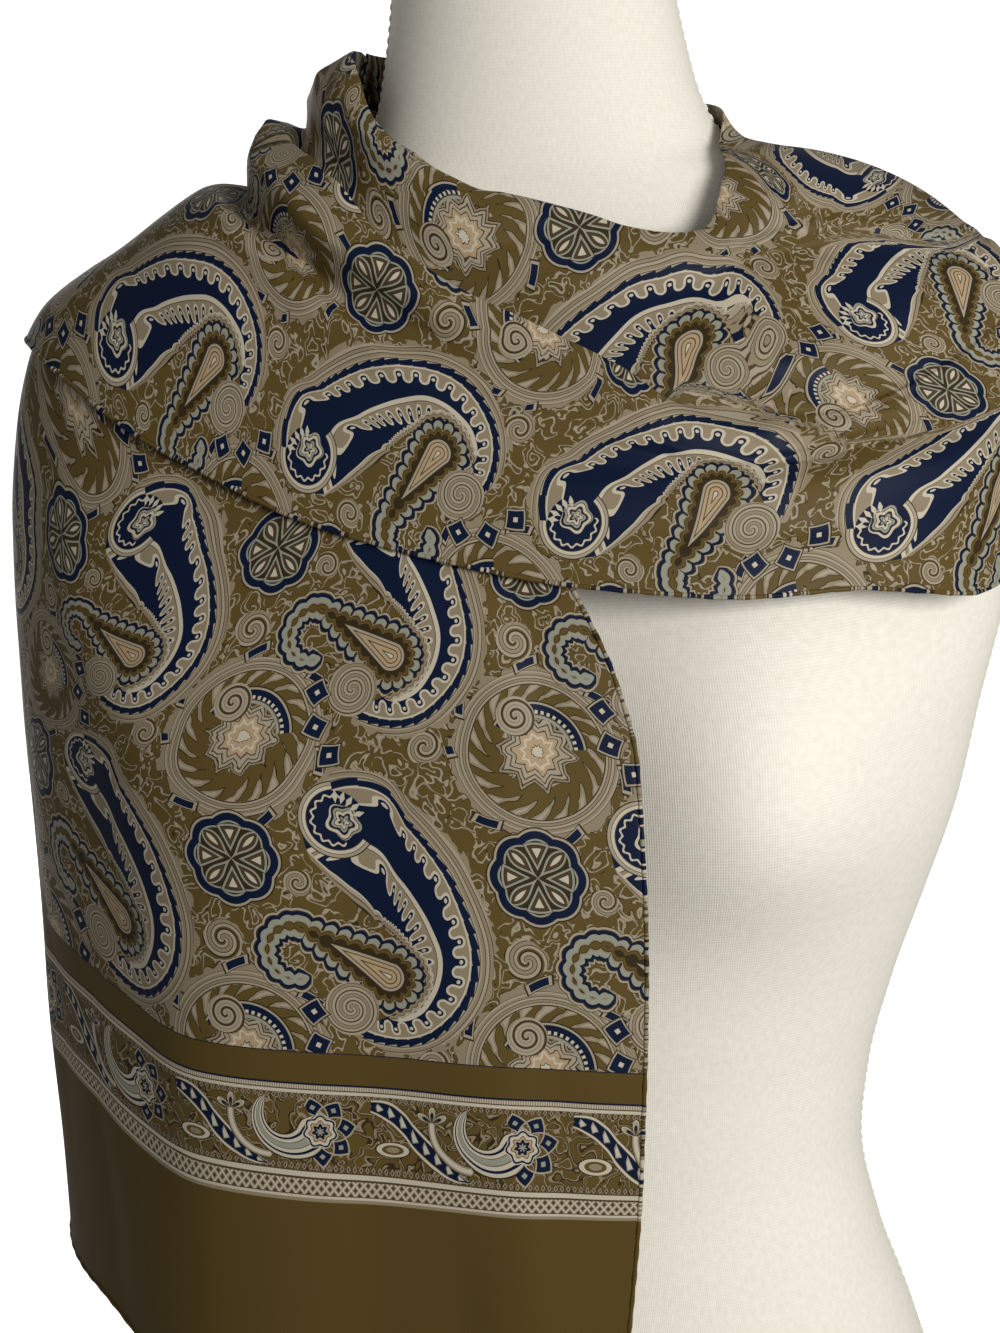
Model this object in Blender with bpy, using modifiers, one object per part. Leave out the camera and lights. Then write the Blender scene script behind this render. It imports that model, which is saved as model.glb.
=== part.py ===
"""Oblong silk scarf laid round the neck of a limbless dress form.

Metres, +Z up.  The dress form stands on its flat base at the origin and faces -Y;
+X is the viewer's right.  Every stretch of the scarf is a patch on one draping
surface, placed by an angle round the neck and a run of cloth down from the neck,
and lifted off that surface by its folds.
"""

import math

import bpy
import bmesh
import numpy as np

# ---- cloth
CLOTH_WALL = 0.0012      # thickness of each stretch of cloth
SEAM_GAP = 0.0004        # clearance where two stretches meet
MM = 0.001

# ---- dress form: level, half width, front and back depth, centre, squareness
FORM_COLUMNS = ("level", "side", "front", "back", "centre", "square")
FORM_ROWS = (
    (0.000, 0.148, 0.096, 0.112, 0.004, 2.20),
    (0.035, 0.154, 0.102, 0.120, 0.004, 2.20),
    (0.075, 0.150, 0.104, 0.120, 0.003, 2.20),
    (0.120, 0.1405, 0.101, 0.111, 0.002, 2.20),
    (0.160, 0.130, 0.095, 0.098, 0.001, 2.20),
    (0.200, 0.1175, 0.087, 0.086, 0.000, 2.20),
    (0.235, 0.1115, 0.083, 0.079, 0.000, 2.20),
    (0.270, 0.116, 0.085, 0.079, 0.000, 2.20),
    (0.305, 0.1265, 0.090, 0.084, 0.000, 2.20),
    (0.345, 0.142, 0.096, 0.090, 0.000, 2.25),
    (0.385, 0.157, 0.101, 0.095, 0.000, 2.30),
    (0.423, 0.167, 0.101, 0.098, 0.000, 2.35),
    (0.466, 0.1795, 0.095, 0.099, 0.001, 2.40),
    (0.510, 0.187, 0.084, 0.098, 0.003, 2.40),
    (0.545, 0.191, 0.074, 0.092, 0.005, 2.40),
    (0.572, 0.1905, 0.066, 0.0855, 0.006, 2.38),
    (0.590, 0.186, 0.061, 0.079, 0.007, 2.35),
    (0.603, 0.1785, 0.0575, 0.0745, 0.007, 2.30),
    (0.615, 0.1665, 0.055, 0.0695, 0.007, 2.25),
    (0.627, 0.1505, 0.053, 0.0655, 0.006, 2.20),
    (0.637, 0.1295, 0.0515, 0.062, 0.006, 2.12),
    (0.642, 0.112, 0.051, 0.0605, 0.005, 2.06),
    (0.646, 0.0925, 0.0505, 0.059, 0.004, 2.00),
    (0.651, 0.078, 0.050, 0.0565, 0.003, 2.00),
    (0.660, 0.0705, 0.0495, 0.054, 0.002, 2.00),
    (0.675, 0.064, 0.049, 0.0515, 0.001, 2.00),
    (0.690, 0.0605, 0.0485, 0.050, 0.000, 2.00),
    (0.712, 0.0565, 0.047, 0.048, -0.003, 2.00),
    (0.742, 0.053, 0.045, 0.045, -0.006, 2.00),
    (0.748, 0.049, 0.041, 0.041, -0.006, 2.00),
)
BUST_OFFSET = 0.080      # sideways from the middle
BUST_LEVEL = 0.407
BUST_RISE = 0.051
BUST_WIDTH = 0.063
BUST_BELOW = 0.058
BUST_ABOVE = 0.092
FORM_RINGS = 34
FORM_SEGMENTS = 40

# ---- surface that the cloth drapes on, outside the dress form and bridging its hollows
DRAPE_COLUMNS = ("level", "left", "right", "front", "back", "centre", "square")
DRAPE_ROWS = (
    (0.120, 0.224, 0.156, 0.142, 0.112, 0.000, 2.50),
    (0.300, 0.224, 0.150, 0.142, 0.101, 0.000, 2.50),
    (0.400, 0.224, 0.164, 0.141, 0.101, 0.000, 2.50),
    (0.440, 0.224, 0.174, 0.137, 0.101, 0.000, 2.50),
    (0.480, 0.224, 0.1830, 0.127, 0.1010, 0.001, 2.45),
    (0.520, 0.223, 0.1890, 0.110, 0.0980, 0.0035, 2.40),
    (0.555, 0.219, 0.1920, 0.093, 0.0910, 0.0055, 2.40),
    (0.580, 0.213, 0.1895, 0.081, 0.0840, 0.0065, 2.36),
    (0.600, 0.203, 0.1812, 0.073, 0.0762, 0.007, 2.31),
    (0.615, 0.183, 0.1672, 0.068, 0.0703, 0.007, 2.25),
    (0.627, 0.157, 0.1512, 0.064, 0.0663, 0.006, 2.20),
    (0.637, 0.129, 0.1302, 0.061, 0.0628, 0.006, 2.12),
    (0.642, 0.116, 0.1128, 0.060, 0.0613, 0.005, 2.06),
    (0.646, 0.106, 0.0935, 0.059, 0.0598, 0.004, 2.02),
    (0.651, 0.096, 0.0795, 0.058, 0.0575, 0.003, 2.00),
    (0.660, 0.085, 0.0728, 0.0565, 0.0552, 0.002, 2.00),
    (0.675, 0.075, 0.0685, 0.0548, 0.0530, 0.001, 2.00),
    (0.690, 0.069, 0.0655, 0.0535, 0.0515, 0.000, 2.00),
    (0.712, 0.064, 0.0620, 0.0520, 0.0500, -0.003, 2.00),
)

# ---- front tail: six threads, a row for each length of cloth up from the hem in mm
# its top turns under the crossing and goes up to the left of the neck
TAIL_THREADS = ("inner", "soft", "middle", "ridge", "slope", "outer")
TAIL_ANGLES = {
    0: (0.0, -16.0, -34.0, -53.5, -72.0, -89.0),
    80: (4.2, -14.0, -33.0, -52.0, -71.0, -89.0),
    190: (7.1, -13.0, -31.5, -50.5, -70.0, -89.0),
    235: (7.2, -13.0, -32.0, -53.5, -71.0, -89.0),
    265: (6.2, -14.0, -33.0, -57.0, -74.0, -89.0),
    315: (-1.0, -19.0, -38.0, -66.0, -78.0, -90.0),
    390: (-14.0, -30.0, -47.0, -66.0, -81.0, -92.0),
    425: (-20.0, -33.0, -48.0, -64.0, -80.0, -92.5),
    470: (-35.0, -45.0, -57.0, -70.0, -83.0, -94.0),
    500: (-62.0, -69.0, -76.0, -83.0, -90.0, -96.0),
    525: (-98.0, -98.0, -98.0, -98.0, -98.0, -98.0),
}
TAIL_LEVELS = {
    0: (0.195, 0.195, 0.195, 0.197, 0.215, 0.222),
    80: (0.275, 0.275, 0.275, 0.277, 0.285, 0.290),
    190: (0.385, 0.385, 0.385, 0.385, 0.388, 0.390),
    235: (0.430, 0.430, 0.430, 0.430, 0.432, 0.434),
    265: (0.460, 0.460, 0.460, 0.460, 0.462, 0.464),
    315: (0.507, 0.507, 0.509, 0.513, 0.518, 0.524),
    390: (0.575, 0.574, 0.574, 0.575, 0.578, 0.583),
    425: (0.605, 0.603, 0.600, 0.598, 0.598, 0.600),
    470: (0.655, 0.645, 0.638, 0.630, 0.624, 0.618),
    500: (0.682, 0.671, 0.659, 0.648, 0.638, 0.631),
    525: (0.694, 0.681, 0.668, 0.656, 0.645, 0.636),
}
TAIL_LIFTS = {
    0: (1.5, 6.0, 1.0, 11.0, 1.0, 4.0),
    80: (1.5, 5.0, 1.0, 10.5, 0.0, 3.0),
    190: (1.2, 2.6, 1.1, 9.0, -0.5, 3.0),
    235: (1.2, 2.0, 1.1, 8.0, 0.0, 3.0),
    265: (1.2, 2.0, 1.4, 7.0, 0.5, 2.5),
    315: (1.5, 1.8, 1.6, 3.5, 1.5, 1.8),
    390: (1.5, 1.6, 1.6, 1.6, 1.5, 1.6),
    425: (1.5, 1.6, 1.6, 1.6, 1.5, 1.6),
    470: (2.0, 1.8, 1.6, 1.6, 1.5, 1.6),
    500: (2.5, 2.0, 1.6, 1.6, 1.5, 1.6),
    525: (1.6, 1.6, 1.6, 1.6, 1.6, 1.6),
}

# ---- wound stretches: ten threads, a row for each angle in degrees, from behind the left
# of the neck (262) round the back and the right shoulder, across the chest (0) and over
# the left shoulder (-90); runs and lifts are in mm
WOUND_THREADS = ("neckline", "roll", "tuck", "brow", "fold",
                 "crest", "pocket", "bolster", "plain", "hem")
WOUND_RUNS = {
    262: (18, 26, 34, 42, 50, 60, 72, 84, 97, 110),
    220: (23, 33, 43, 53, 63, 74, 85, 97, 110, 124),
    200: (26, 37, 48, 60, 72, 84, 97, 110, 124, 140),
    180: (28, 40, 53, 67, 81, 95, 110, 126, 143, 162),
    150: (30, 48, 67, 87, 107, 128, 149, 172, 197, 224),
    120: (34, 62, 102, 130, 152, 175, 200, 224, 253, 284),
    90: (44, 84, 164, 180, 191, 208, 235, 250, 272, 298),
    78: (53, 94, 157, 178, 191, 206, 228, 242, 263, 287),
    63: (66, 98, 126, 166, 187, 198, 212, 225, 248, 275),
    51: (84, 104, 118, 164, 184, 191, 200, 214, 235, 259),
    42: (99, 108, 118, 158, 177, 187, 198, 210, 229, 250),
    15: (87, 97, 109, 129, 151, 163, 177, 191, 215, 240),
    -5: (79, 88, 99, 112, 127, 143, 160, 177, 206, 232),
    -25: (72, 80, 88, 97, 109, 127, 144, 160, 190, 222),
    -45: (60, 67, 74, 81, 89, 109, 127, 142, 174, 211),
    -60: (46, 53, 60, 68, 77, 97, 117, 131, 163, 202),
    -75: (24, 31, 40, 52, 67, 87, 107, 122, 160, 200),
    -90: (8, 15, 26, 39, 53, 71, 90, 110, 158, 202),
}
WOUND_LIFTS = {
    262: (1.5, 1.6, 1.4, 1.6, 1.4, 1.6, 1.4, 1.6, 1.4, 1.4),
    220: (1.2, 1.5, 1.1, 1.5, 1.1, 1.6, 1.1, 1.5, 1.1, 1.1),
    200: (1.2, 1.7, 1.1, 1.7, 1.1, 1.8, 1.1, 1.7, 1.1, 1.1),
    180: (1.2, 4.5, 1.1, 4.5, 1.1, 4.5, 1.1, 3.5, 1.2, 1.1),
    150: (1.2, 5.0, 1.1, 5.0, 1.1, 5.0, 1.1, 4.5, 1.5, 1.1),
    120: (1.2, 5.5, 1.1, 5.5, 1.3, 4.5, 1.1, 5.5, 1.8, 1.1),
    90: (1.5, 4.0, 1.2, 5.0, 2.5, 3.6, 1.1, 6.0, 2.5, 1.1),
    78: (1.5, 4.5, 1.2, 5.0, 2.8, 3.6, 1.1, 6.5, 3.0, 1.2),
    63: (1.5, 5.0, 1.2, 6.5, 2.2, 3.6, 1.1, 6.5, 3.5, 1.6),
    51: (2.5, 5.0, 3.0, 9.5, 1.2, 4.0, 1.2, 6.5, 4.0, 2.2),
    42: (3.0, 5.5, 4.0, 10.0, 1.2, 4.0, 1.8, 6.5, 4.5, 2.6),
    15: (4.0, 7.0, 6.5, 8.0, 3.4, 9.0, 6.0, 7.0, 5.5, 4.2),
    -5: (4.6, 8.0, 8.5, 8.5, 4.0, 12.5, 8.0, 7.5, 6.0, 4.6),
    -25: (5.0, 9.0, 10.0, 9.0, 4.2, 14.0, 9.0, 8.5, 6.0, 4.8),
    -45: (5.2, 10.0, 11.5, 10.5, 4.6, 15.5, 8.0, 10.0, 6.0, 4.8),
    -60: (5.5, 12.0, 13.5, 12.5, 6.0, 18.0, 4.8, 12.0, 6.0, 4.8),
    -75: (4.5, 12.0, 17.0, 16.5, 8.5, 23.0, 4.6, 13.5, 5.5, 5.0),
    -90: (4.2, 12.0, 18.0, 18.0, 12.0, 26.0, 4.6, 13.0, 4.5, 5.5),
}
WOUND_START = 262        # where the front tail ends and the neck pass starts
CROSSING_START = 150     # where the neck pass ends and the crossing starts
CROSSING_END = -100      # where the crossing ends and the back tail starts

# ---- back tail: the ten threads turn from running round the shoulder to hanging
HANG_ANGLES = (-162, -157, -151, -146, -140, -134, -128, -122, -116, -110)
HANG_LIFTS = (5.0, 10.0, 4.0, 9.0, 4.0, 11.0, 4.5, 9.0, 4.5, 4.5)
TURN_DROP = 0.020        # extra run that a thread takes while it turns
TURN_RUN = 0.300         # run at which every thread hangs straight
TURN_SHARE = 0.55        # share of the rows that the turn takes
BACK_HEM_LEVEL = 0.285

# ---- mesh density: rows along the cloth, columns across it
TAIL_GRID = (36, 22)
NECK_GRID = (20, 18)
CROSS_GRID = (46, 38)
BACK_GRID = (24, 22)


def column(names, rows, name):
    """One named column of a table."""
    place = names.index(name)
    return np.array([row[place] for row in rows], float)


def smooth(at, stops, values):
    """Curve through the stops that never overshoots them (monotone cubic)."""
    stops = np.asarray(stops, float)
    values = np.asarray(values, float)
    step = np.diff(stops)
    slope = np.diff(values) / step
    bend = np.zeros(len(stops))
    before = slope[:-1]
    after = slope[1:]
    level_off = before * after <= 0
    safe_before = np.where(level_off, 1.0, before)
    safe_after = np.where(level_off, 1.0, after)
    weight_one = 2 * step[1:] + step[:-1]
    weight_two = step[1:] + 2 * step[:-1]
    mean = (weight_one + weight_two) / (weight_one / safe_before + weight_two / safe_after)
    bend[1:-1] = np.where(level_off, 0.0, mean)
    bend[0] = slope[0]
    bend[-1] = slope[-1]
    at = np.clip(at, stops[0], stops[-1])
    cell = np.clip(np.searchsorted(stops, at) - 1, 0, len(stops) - 2)
    t = (at - stops[cell]) / step[cell]
    start = values[cell] * (1 + 2 * t) * (1 - t) ** 2 + bend[cell] * step[cell] * t * (1 - t) ** 2
    end = values[cell + 1] * t * t * (3 - 2 * t) + bend[cell + 1] * step[cell] * t * t * (t - 1)
    return start + end


def section_radius(angle, side, front, back, square):
    """Radius of a rounded-off section in one direction; angle 0 is the front, -Y."""
    across = np.abs(np.sin(angle)) / side
    depth = np.where(np.cos(angle) > 0, front, back)
    along = np.abs(np.cos(angle)) / depth
    return (across ** square + along ** square) ** (-1 / square)


def around(angle, radius, centre, level):
    """Points at an angle and radius about the neck axis."""
    x = radius * np.sin(angle)
    y = centre - radius * np.cos(angle)
    return np.stack([x, y, level + 0 * x], -1)


def form_points(angle, level):
    """The dress form's skin: its section plus the rounded bust on the front."""
    levels = column(FORM_COLUMNS, FORM_ROWS, "level")
    sizes = {}
    for name in FORM_COLUMNS[1:]:
        sizes[name] = smooth(level, levels, column(FORM_COLUMNS, FORM_ROWS, name))
    radius = section_radius(angle, sizes["side"], sizes["front"], sizes["back"], sizes["square"])
    skin = around(angle, radius, sizes["centre"], level)
    tall = np.where(level < BUST_LEVEL, BUST_BELOW, BUST_ABOVE)
    sideways = (np.abs(skin[..., 0]) - BUST_OFFSET) / BUST_WIDTH
    upward = (level - BUST_LEVEL) / tall
    bulge = BUST_RISE * np.exp(-sideways ** 2 - upward ** 2) * np.clip(np.cos(angle), 0, 1)
    skin[..., 1] -= bulge
    return skin


def drape_points(angle, level):
    """The draping surface at an angle (radians) and level."""
    levels = column(DRAPE_COLUMNS, DRAPE_ROWS, "level")
    sizes = {}
    for name in DRAPE_COLUMNS[1:]:
        sizes[name] = smooth(level, levels, column(DRAPE_COLUMNS, DRAPE_ROWS, name))
    side = np.where(np.sin(angle) < 0, sizes["left"], sizes["right"])
    radius = section_radius(angle, side, sizes["front"], sizes["back"], sizes["square"])
    return around(angle, radius, sizes["centre"], level)


# runs of cloth measured down the draping surface from the neck, on lines a few degrees apart
LINE_STEP = math.radians(2)
LINE_COUNT = 181
LINE_ANGLES = np.arange(LINE_COUNT) * LINE_STEP - math.pi
LINE_LEVELS = np.linspace(DRAPE_ROWS[-1][0], DRAPE_ROWS[0][0], 500)
LINE_POINTS = drape_points(LINE_ANGLES[:, None], LINE_LEVELS[None, :] + 0 * LINE_ANGLES[:, None])
LINE_STEPS = np.linalg.norm(np.diff(LINE_POINTS, axis=1), axis=2)
LINE_RUNS = np.concatenate([np.zeros((len(LINE_ANGLES), 1)), np.cumsum(LINE_STEPS, axis=1)], 1)


def level_at(angle, run):
    """Level of the draping surface at an angle (radians) and a run of cloth (metres)."""
    place = (np.asarray(angle) + math.pi) % (2 * math.pi) / LINE_STEP
    line = np.clip(place.astype(int), 0, LINE_COUNT - 2)
    part = place - line
    out = np.zeros(np.shape(run))
    for spot in np.ndindex(out.shape):
        one = np.interp(run[spot], LINE_RUNS[line[spot]], LINE_LEVELS)
        two = np.interp(run[spot], LINE_RUNS[line[spot] + 1], LINE_LEVELS)
        out[spot] = one + (two - one) * part[spot]
    return out


def draped(angle, level, lift):
    """Points lifted off the draping surface along its outward normal."""
    nudge = 0.0005
    here = drape_points(angle, level)
    beside = drape_points(angle + nudge, level) - drape_points(angle - nudge, level)
    above = drape_points(angle, level + nudge) - drape_points(angle, level - nudge)
    normal = np.cross(beside, above)
    normal /= np.linalg.norm(normal, axis=-1, keepdims=True)
    return here + normal * lift[..., None]


def threads_at(names, table, places):
    """The value of every named thread at some places along the cloth, from a table's rows."""
    stops = sorted(table)
    values = []
    for k in range(len(names)):
        values.append(smooth(places, stops, [table[stop][k] for stop in stops]))
    return np.stack(values, 1)


def across(values, columns):
    """Values known on the threads, worked out on evenly spread columns of the cloth."""
    threads = np.arange(np.shape(values)[-1])
    places = np.linspace(0, threads[-1], columns)
    return np.stack([smooth(places, threads, row) for row in np.atleast_2d(values)])


def front_tail_points(rows, columns):
    places = np.linspace(min(TAIL_LEVELS), max(TAIL_LEVELS), rows)
    angle = np.radians(across(threads_at(TAIL_THREADS, TAIL_ANGLES, places), columns))
    level = across(threads_at(TAIL_THREADS, TAIL_LEVELS, places), columns)
    lift = across(threads_at(TAIL_THREADS, TAIL_LIFTS, places), columns) * MM
    return draped(angle, level, lift)


def wound_points(start, end, rows, columns):
    """A wound stretch from one angle to another, in degrees."""
    places = np.linspace(start, end, rows)
    run = across(threads_at(WOUND_THREADS, WOUND_RUNS, places), columns) * MM
    lift = across(threads_at(WOUND_THREADS, WOUND_LIFTS, places), columns) * MM
    angle = np.radians(places)[:, None] + 0 * run
    return draped(angle, level_at(angle, run), lift)


def back_tail_points(rows, columns):
    """From the crossing's last row over the left shoulder and down the back."""
    first_run = across(threads_at(WOUND_THREADS, WOUND_RUNS, [CROSSING_END]), columns) * MM
    first_lift = across(threads_at(WOUND_THREADS, WOUND_LIFTS, [CROSSING_END]), columns) * MM
    hang_angle = across(HANG_ANGLES, columns)
    hang_lift = across(HANG_LIFTS, columns) * MM
    turning = int(rows * TURN_SHARE)
    t = np.linspace(0, 1, turning)[:, None]
    left = (1 - t) ** 2
    angle = left * CROSSING_END + (1 - left) * hang_angle
    run = left * first_run + 2 * t * (1 - t) * (first_run + TURN_DROP) + t * t * TURN_RUN
    top = level_at(np.radians(angle), run)
    down = np.linspace(0, 1, rows - turning + 1)[1:, None]
    low = top[-1] + (BACK_HEM_LEVEL - top[-1]) * down
    angle = np.radians(np.concatenate([angle, hang_angle + 0 * low]))
    level = np.concatenate([top, low])
    settled = np.clip(np.linspace(0, 1 / TURN_SHARE, rows), 0, 1)[:, None]
    settled = settled * settled * (3 - 2 * settled)
    lift = first_lift + (hang_lift - first_lift) * settled
    return draped(angle, level, lift)


def pulled_back(points, gap):
    """The first row moved along the cloth by a gap, to clear the stretch before it."""
    points = points.copy()
    along = points[1] - points[0]
    length = np.linalg.norm(along, axis=-1, keepdims=True)
    points[0] += along * gap / length
    return points


def material(name, colour, roughness):
    made = bpy.data.materials.new(name)
    made.use_nodes = True
    shader = made.node_tree.nodes["Principled BSDF"]
    shader.inputs["Base Color"].default_value = (*colour, 1.0)
    shader.inputs["Roughness"].default_value = roughness
    shader.inputs["Metallic"].default_value = 0.0
    made.diffuse_color = (*colour, 1.0)
    return made


def add_object(name, mesh, paint):
    made = bpy.data.objects.new(name, mesh)
    made.data.materials.append(paint)
    parts.objects.link(made)
    return made


def cloth(name, points, paint):
    """A stretch of cloth: an open lofted surface given its wall by a Solidify modifier."""
    rows, columns = points.shape[:2]
    build = bmesh.new()
    spots = [build.verts.new(point) for point in points.reshape(-1, 3).tolist()]
    for row in range(rows - 1):
        for place in range(columns - 1):
            corner = row * columns + place
            ring = (corner, corner + 1, corner + columns + 1, corner + columns)
            build.faces.new([spots[k] for k in ring])
    middle = points[rows // 2, columns // 2]
    build.faces.ensure_lookup_table()
    sample = build.faces[(rows // 2) * (columns - 1) + columns // 2]
    sample.normal_update()
    outward = sample.normal.x * middle[0] + sample.normal.y * middle[1]
    if outward < 0:
        bmesh.ops.reverse_faces(build, faces=build.faces)
    mesh = bpy.data.meshes.new(name)
    build.to_mesh(mesh)
    build.free()
    for face in mesh.polygons:
        face.use_smooth = True
    made = add_object(name, mesh, paint)
    wall = made.modifiers.new("wall", "SOLIDIFY")
    wall.thickness = CLOTH_WALL
    wall.offset = 0.0
    return made


def dress_form(paint):
    """Rings from the flat base up to the domed neck cap."""
    levels = column(FORM_COLUMNS, FORM_ROWS, "level")
    steps = np.linspace(0, len(levels) - 1, FORM_RINGS)
    heights = np.interp(steps, np.arange(len(levels)), levels)
    turn = np.linspace(0, 2 * math.pi, FORM_SEGMENTS, endpoint=False)
    build = bmesh.new()
    rings = []
    for height in heights:
        skin = form_points(turn, np.full_like(turn, height))
        rings.append([build.verts.new(point) for point in skin.tolist()])
    for low, high in zip(rings[:-1], rings[1:]):
        for k in range(FORM_SEGMENTS):
            after = (k + 1) % FORM_SEGMENTS
            build.faces.new((low[k], low[after], high[after], high[k]))
    build.faces.new(rings[0][::-1])
    build.faces.new(rings[-1])
    bmesh.ops.recalc_face_normals(build, faces=build.faces)
    mesh = bpy.data.meshes.new("dress_form")
    build.to_mesh(mesh)
    build.free()
    for face in mesh.polygons:
        face.use_smooth = len(face.vertices) == 4
    return add_object("dress_form", mesh, paint)


for leftover in list(bpy.data.objects):
    bpy.data.objects.remove(leftover)

parts = bpy.data.collections.new("oblong_scarf")
bpy.context.scene.collection.children.link(parts)

dress_form(material("form_cloth", (0.80, 0.77, 0.69), 0.85))

front = front_tail_points(*TAIL_GRID)
cloth("front_tail", front, material("front_silk", (0.20, 0.15, 0.09), 0.55))

neck = wound_points(WOUND_START, CROSSING_START, *NECK_GRID)
cloth("neck_pass", pulled_back(neck, SEAM_GAP), material("neck_silk", (0.24, 0.19, 0.12), 0.55))

crossing = wound_points(CROSSING_START, CROSSING_END, *CROSS_GRID)
cloth("cross_wrap", pulled_back(crossing, SEAM_GAP), material("cross_silk", (0.22, 0.17, 0.11), 0.55))

back = back_tail_points(*BACK_GRID)
cloth("back_tail", pulled_back(back, SEAM_GAP), material("back_silk", (0.18, 0.14, 0.09), 0.55))
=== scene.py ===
import math

import bpy
import numpy as np
from mathutils import Matrix, Vector


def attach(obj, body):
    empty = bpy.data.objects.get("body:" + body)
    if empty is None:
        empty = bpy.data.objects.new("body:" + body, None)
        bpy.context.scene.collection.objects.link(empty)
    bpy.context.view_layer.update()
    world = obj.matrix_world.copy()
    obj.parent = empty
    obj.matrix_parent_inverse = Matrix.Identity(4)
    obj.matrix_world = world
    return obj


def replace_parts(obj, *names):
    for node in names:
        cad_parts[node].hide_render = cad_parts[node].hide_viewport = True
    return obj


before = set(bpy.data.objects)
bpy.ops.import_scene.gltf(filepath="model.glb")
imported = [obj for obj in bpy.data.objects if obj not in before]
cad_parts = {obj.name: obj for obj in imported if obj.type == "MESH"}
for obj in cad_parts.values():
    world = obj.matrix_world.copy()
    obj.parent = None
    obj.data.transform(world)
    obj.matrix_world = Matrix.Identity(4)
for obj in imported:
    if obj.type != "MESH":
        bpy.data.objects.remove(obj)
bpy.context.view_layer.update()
MM = 0.001

# ---- camera: a step in front of the form and a little above the crossing, tipped down and rolled
# a touch clockwise, as the photograph was taken
CAMERA_PLACE = (-0.03, -1.05, 0.63)
CAMERA_DOWN = math.radians(10)
CAMERA_ROLL = math.radians(3.7)
FOCAL_PIXELS = 2560
PHOTO_HEIGHT = 1333

lens = bpy.data.cameras.new("camera")
lens.sensor_fit = "VERTICAL"
lens.sensor_height = 36
lens.lens = lens.sensor_height * FOCAL_PIXELS / PHOTO_HEIGHT
camera = bpy.data.objects.new("camera", lens)
camera.matrix_world = (Matrix.Translation(CAMERA_PLACE)
                       @ Matrix.Rotation(math.pi / 2 - CAMERA_DOWN, 4, "X")
                       @ Matrix.Rotation(-CAMERA_ROLL, 4, "Z"))
bpy.context.scene.collection.objects.link(camera)
bpy.context.scene.camera = camera


# ---- front tail: the scarf's printed end, a single layer of silk twill that hangs from under
# the crossing, with soft folds down its outer half; only the cloth above it holds it
ROW_UNITS = (MM, MM, MM, MM, MM, MM, 1)
# the shape that the cloth drapes on, ring by ring: level, reach to the left, right, front and
# back, and middle, all in millimetres, and how square it is
DRAPE_ROWS = np.array((
    (120, 224, 156, 142, 112, 0, 2.5), (300, 224, 150, 142, 101, 0, 2.5),
    (400, 224, 164, 141, 101, 0, 2.5), (440, 224, 174, 137, 101, 0, 2.5),
    (480, 224, 183, 127, 101, 1, 2.45), (520, 223, 189, 110, 98, 3.5, 2.4),
    (555, 219, 192, 93, 91, 5.5, 2.4), (580, 213, 189.5, 81, 84, 6.5, 2.36),
    (600, 203, 181.2, 73, 76.2, 7, 2.31), (615, 183, 167.2, 68, 70.3, 7, 2.25),
    (627, 157, 151.2, 64, 66.3, 6, 2.2), (637, 129, 130.2, 61, 62.8, 6, 2.12),
    (642, 116, 112.8, 60, 61.3, 5, 2.06), (646, 106, 93.5, 59, 59.8, 4, 2.02),
    (651, 96, 79.5, 58, 57.5, 3, 2), (660, 85, 72.8, 56.5, 55.2, 2, 2),
    (675, 75, 68.5, 54.8, 53, 1, 2), (690, 69, 65.5, 53.5, 51.5, 0, 2),
    (712, 64, 62, 52, 50, -3, 2),
)) * ROW_UNITS


def smooth(at, stops, values):
    """Curve through the stops that never overshoots them (monotone cubic)."""
    stops = np.asarray(stops, float)
    values = np.asarray(values, float)
    step = np.diff(stops)
    slope = np.diff(values) / step
    before, after = slope[:-1], slope[1:]
    level_off = before * after <= 0
    one = 2 * step[1:] + step[:-1]
    two = step[1:] + 2 * step[:-1]
    before, after = np.where(level_off, 1, (before, after))
    mean = np.where(level_off, 0, (one + two) / (one / before + two / after))
    bend = np.concatenate([slope[:1], mean, slope[-1:]])
    at = np.clip(at, stops[0], stops[-1])
    cell = np.clip(np.searchsorted(stops, at) - 1, 0, len(stops) - 2)
    t = (at - stops[cell]) / step[cell]
    start = values[cell] * (1 + 2 * t) * (1 - t) ** 2 + bend[cell] * step[cell] * t * (1 - t) ** 2
    end = values[cell + 1] * t * t * (3 - 2 * t) + bend[cell + 1] * step[cell] * t * t * (t - 1)
    return start + end


def round_points(rows, angle, level):
    """Points on a rounded upright shape, at an angle (radians) round it and a level."""
    left, right, front, back, centre, square = (
        smooth(level, rows[:, 0], one) for one in rows.T[1:])
    side = np.where(np.sin(angle) < 0, left, right)
    depth = np.where(np.cos(angle) > 0, front, back)
    wide = (np.abs(np.sin(angle)) / side) ** square
    deep = (np.abs(np.cos(angle)) / depth) ** square
    radius = (wide + deep) ** (-1 / square)
    x = radius * np.sin(angle)
    return np.stack([x, centre - radius * np.cos(angle), level + 0 * x], -1)


LEAST_LIFT = 0.0006      # cloth never comes nearer to what it drapes on


def draped(angle, level, lift):
    """Points lifted off the draping surface along its outward normal."""
    nudge = 0.0005
    beside, above = (
        round_points(DRAPE_ROWS, angle + round_it, level + up)
        - round_points(DRAPE_ROWS, angle - round_it, level - up)
        for round_it, up in ((nudge, 0), (0, nudge)))
    normal = np.cross(beside, above)
    normal /= np.linalg.norm(normal, axis=-1, keepdims=True)
    return round_points(DRAPE_ROWS, angle, level) + normal * lift[..., None]


def threads_at(table, places):
    """The value of every thread at some places along the cloth, from a table's rows."""
    stops = sorted(table)
    values = zip(*(table[stop] for stop in stops))
    return np.stack([smooth(places, stops, one) for one in values], 1)


def across(values, columns):
    """Values known on the threads, worked out on evenly spread columns of the cloth."""
    threads = np.arange(np.shape(values)[-1])
    places = np.linspace(0, threads[-1], columns)
    return np.stack([smooth(places, threads, row) for row in np.atleast_2d(values)])


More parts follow.
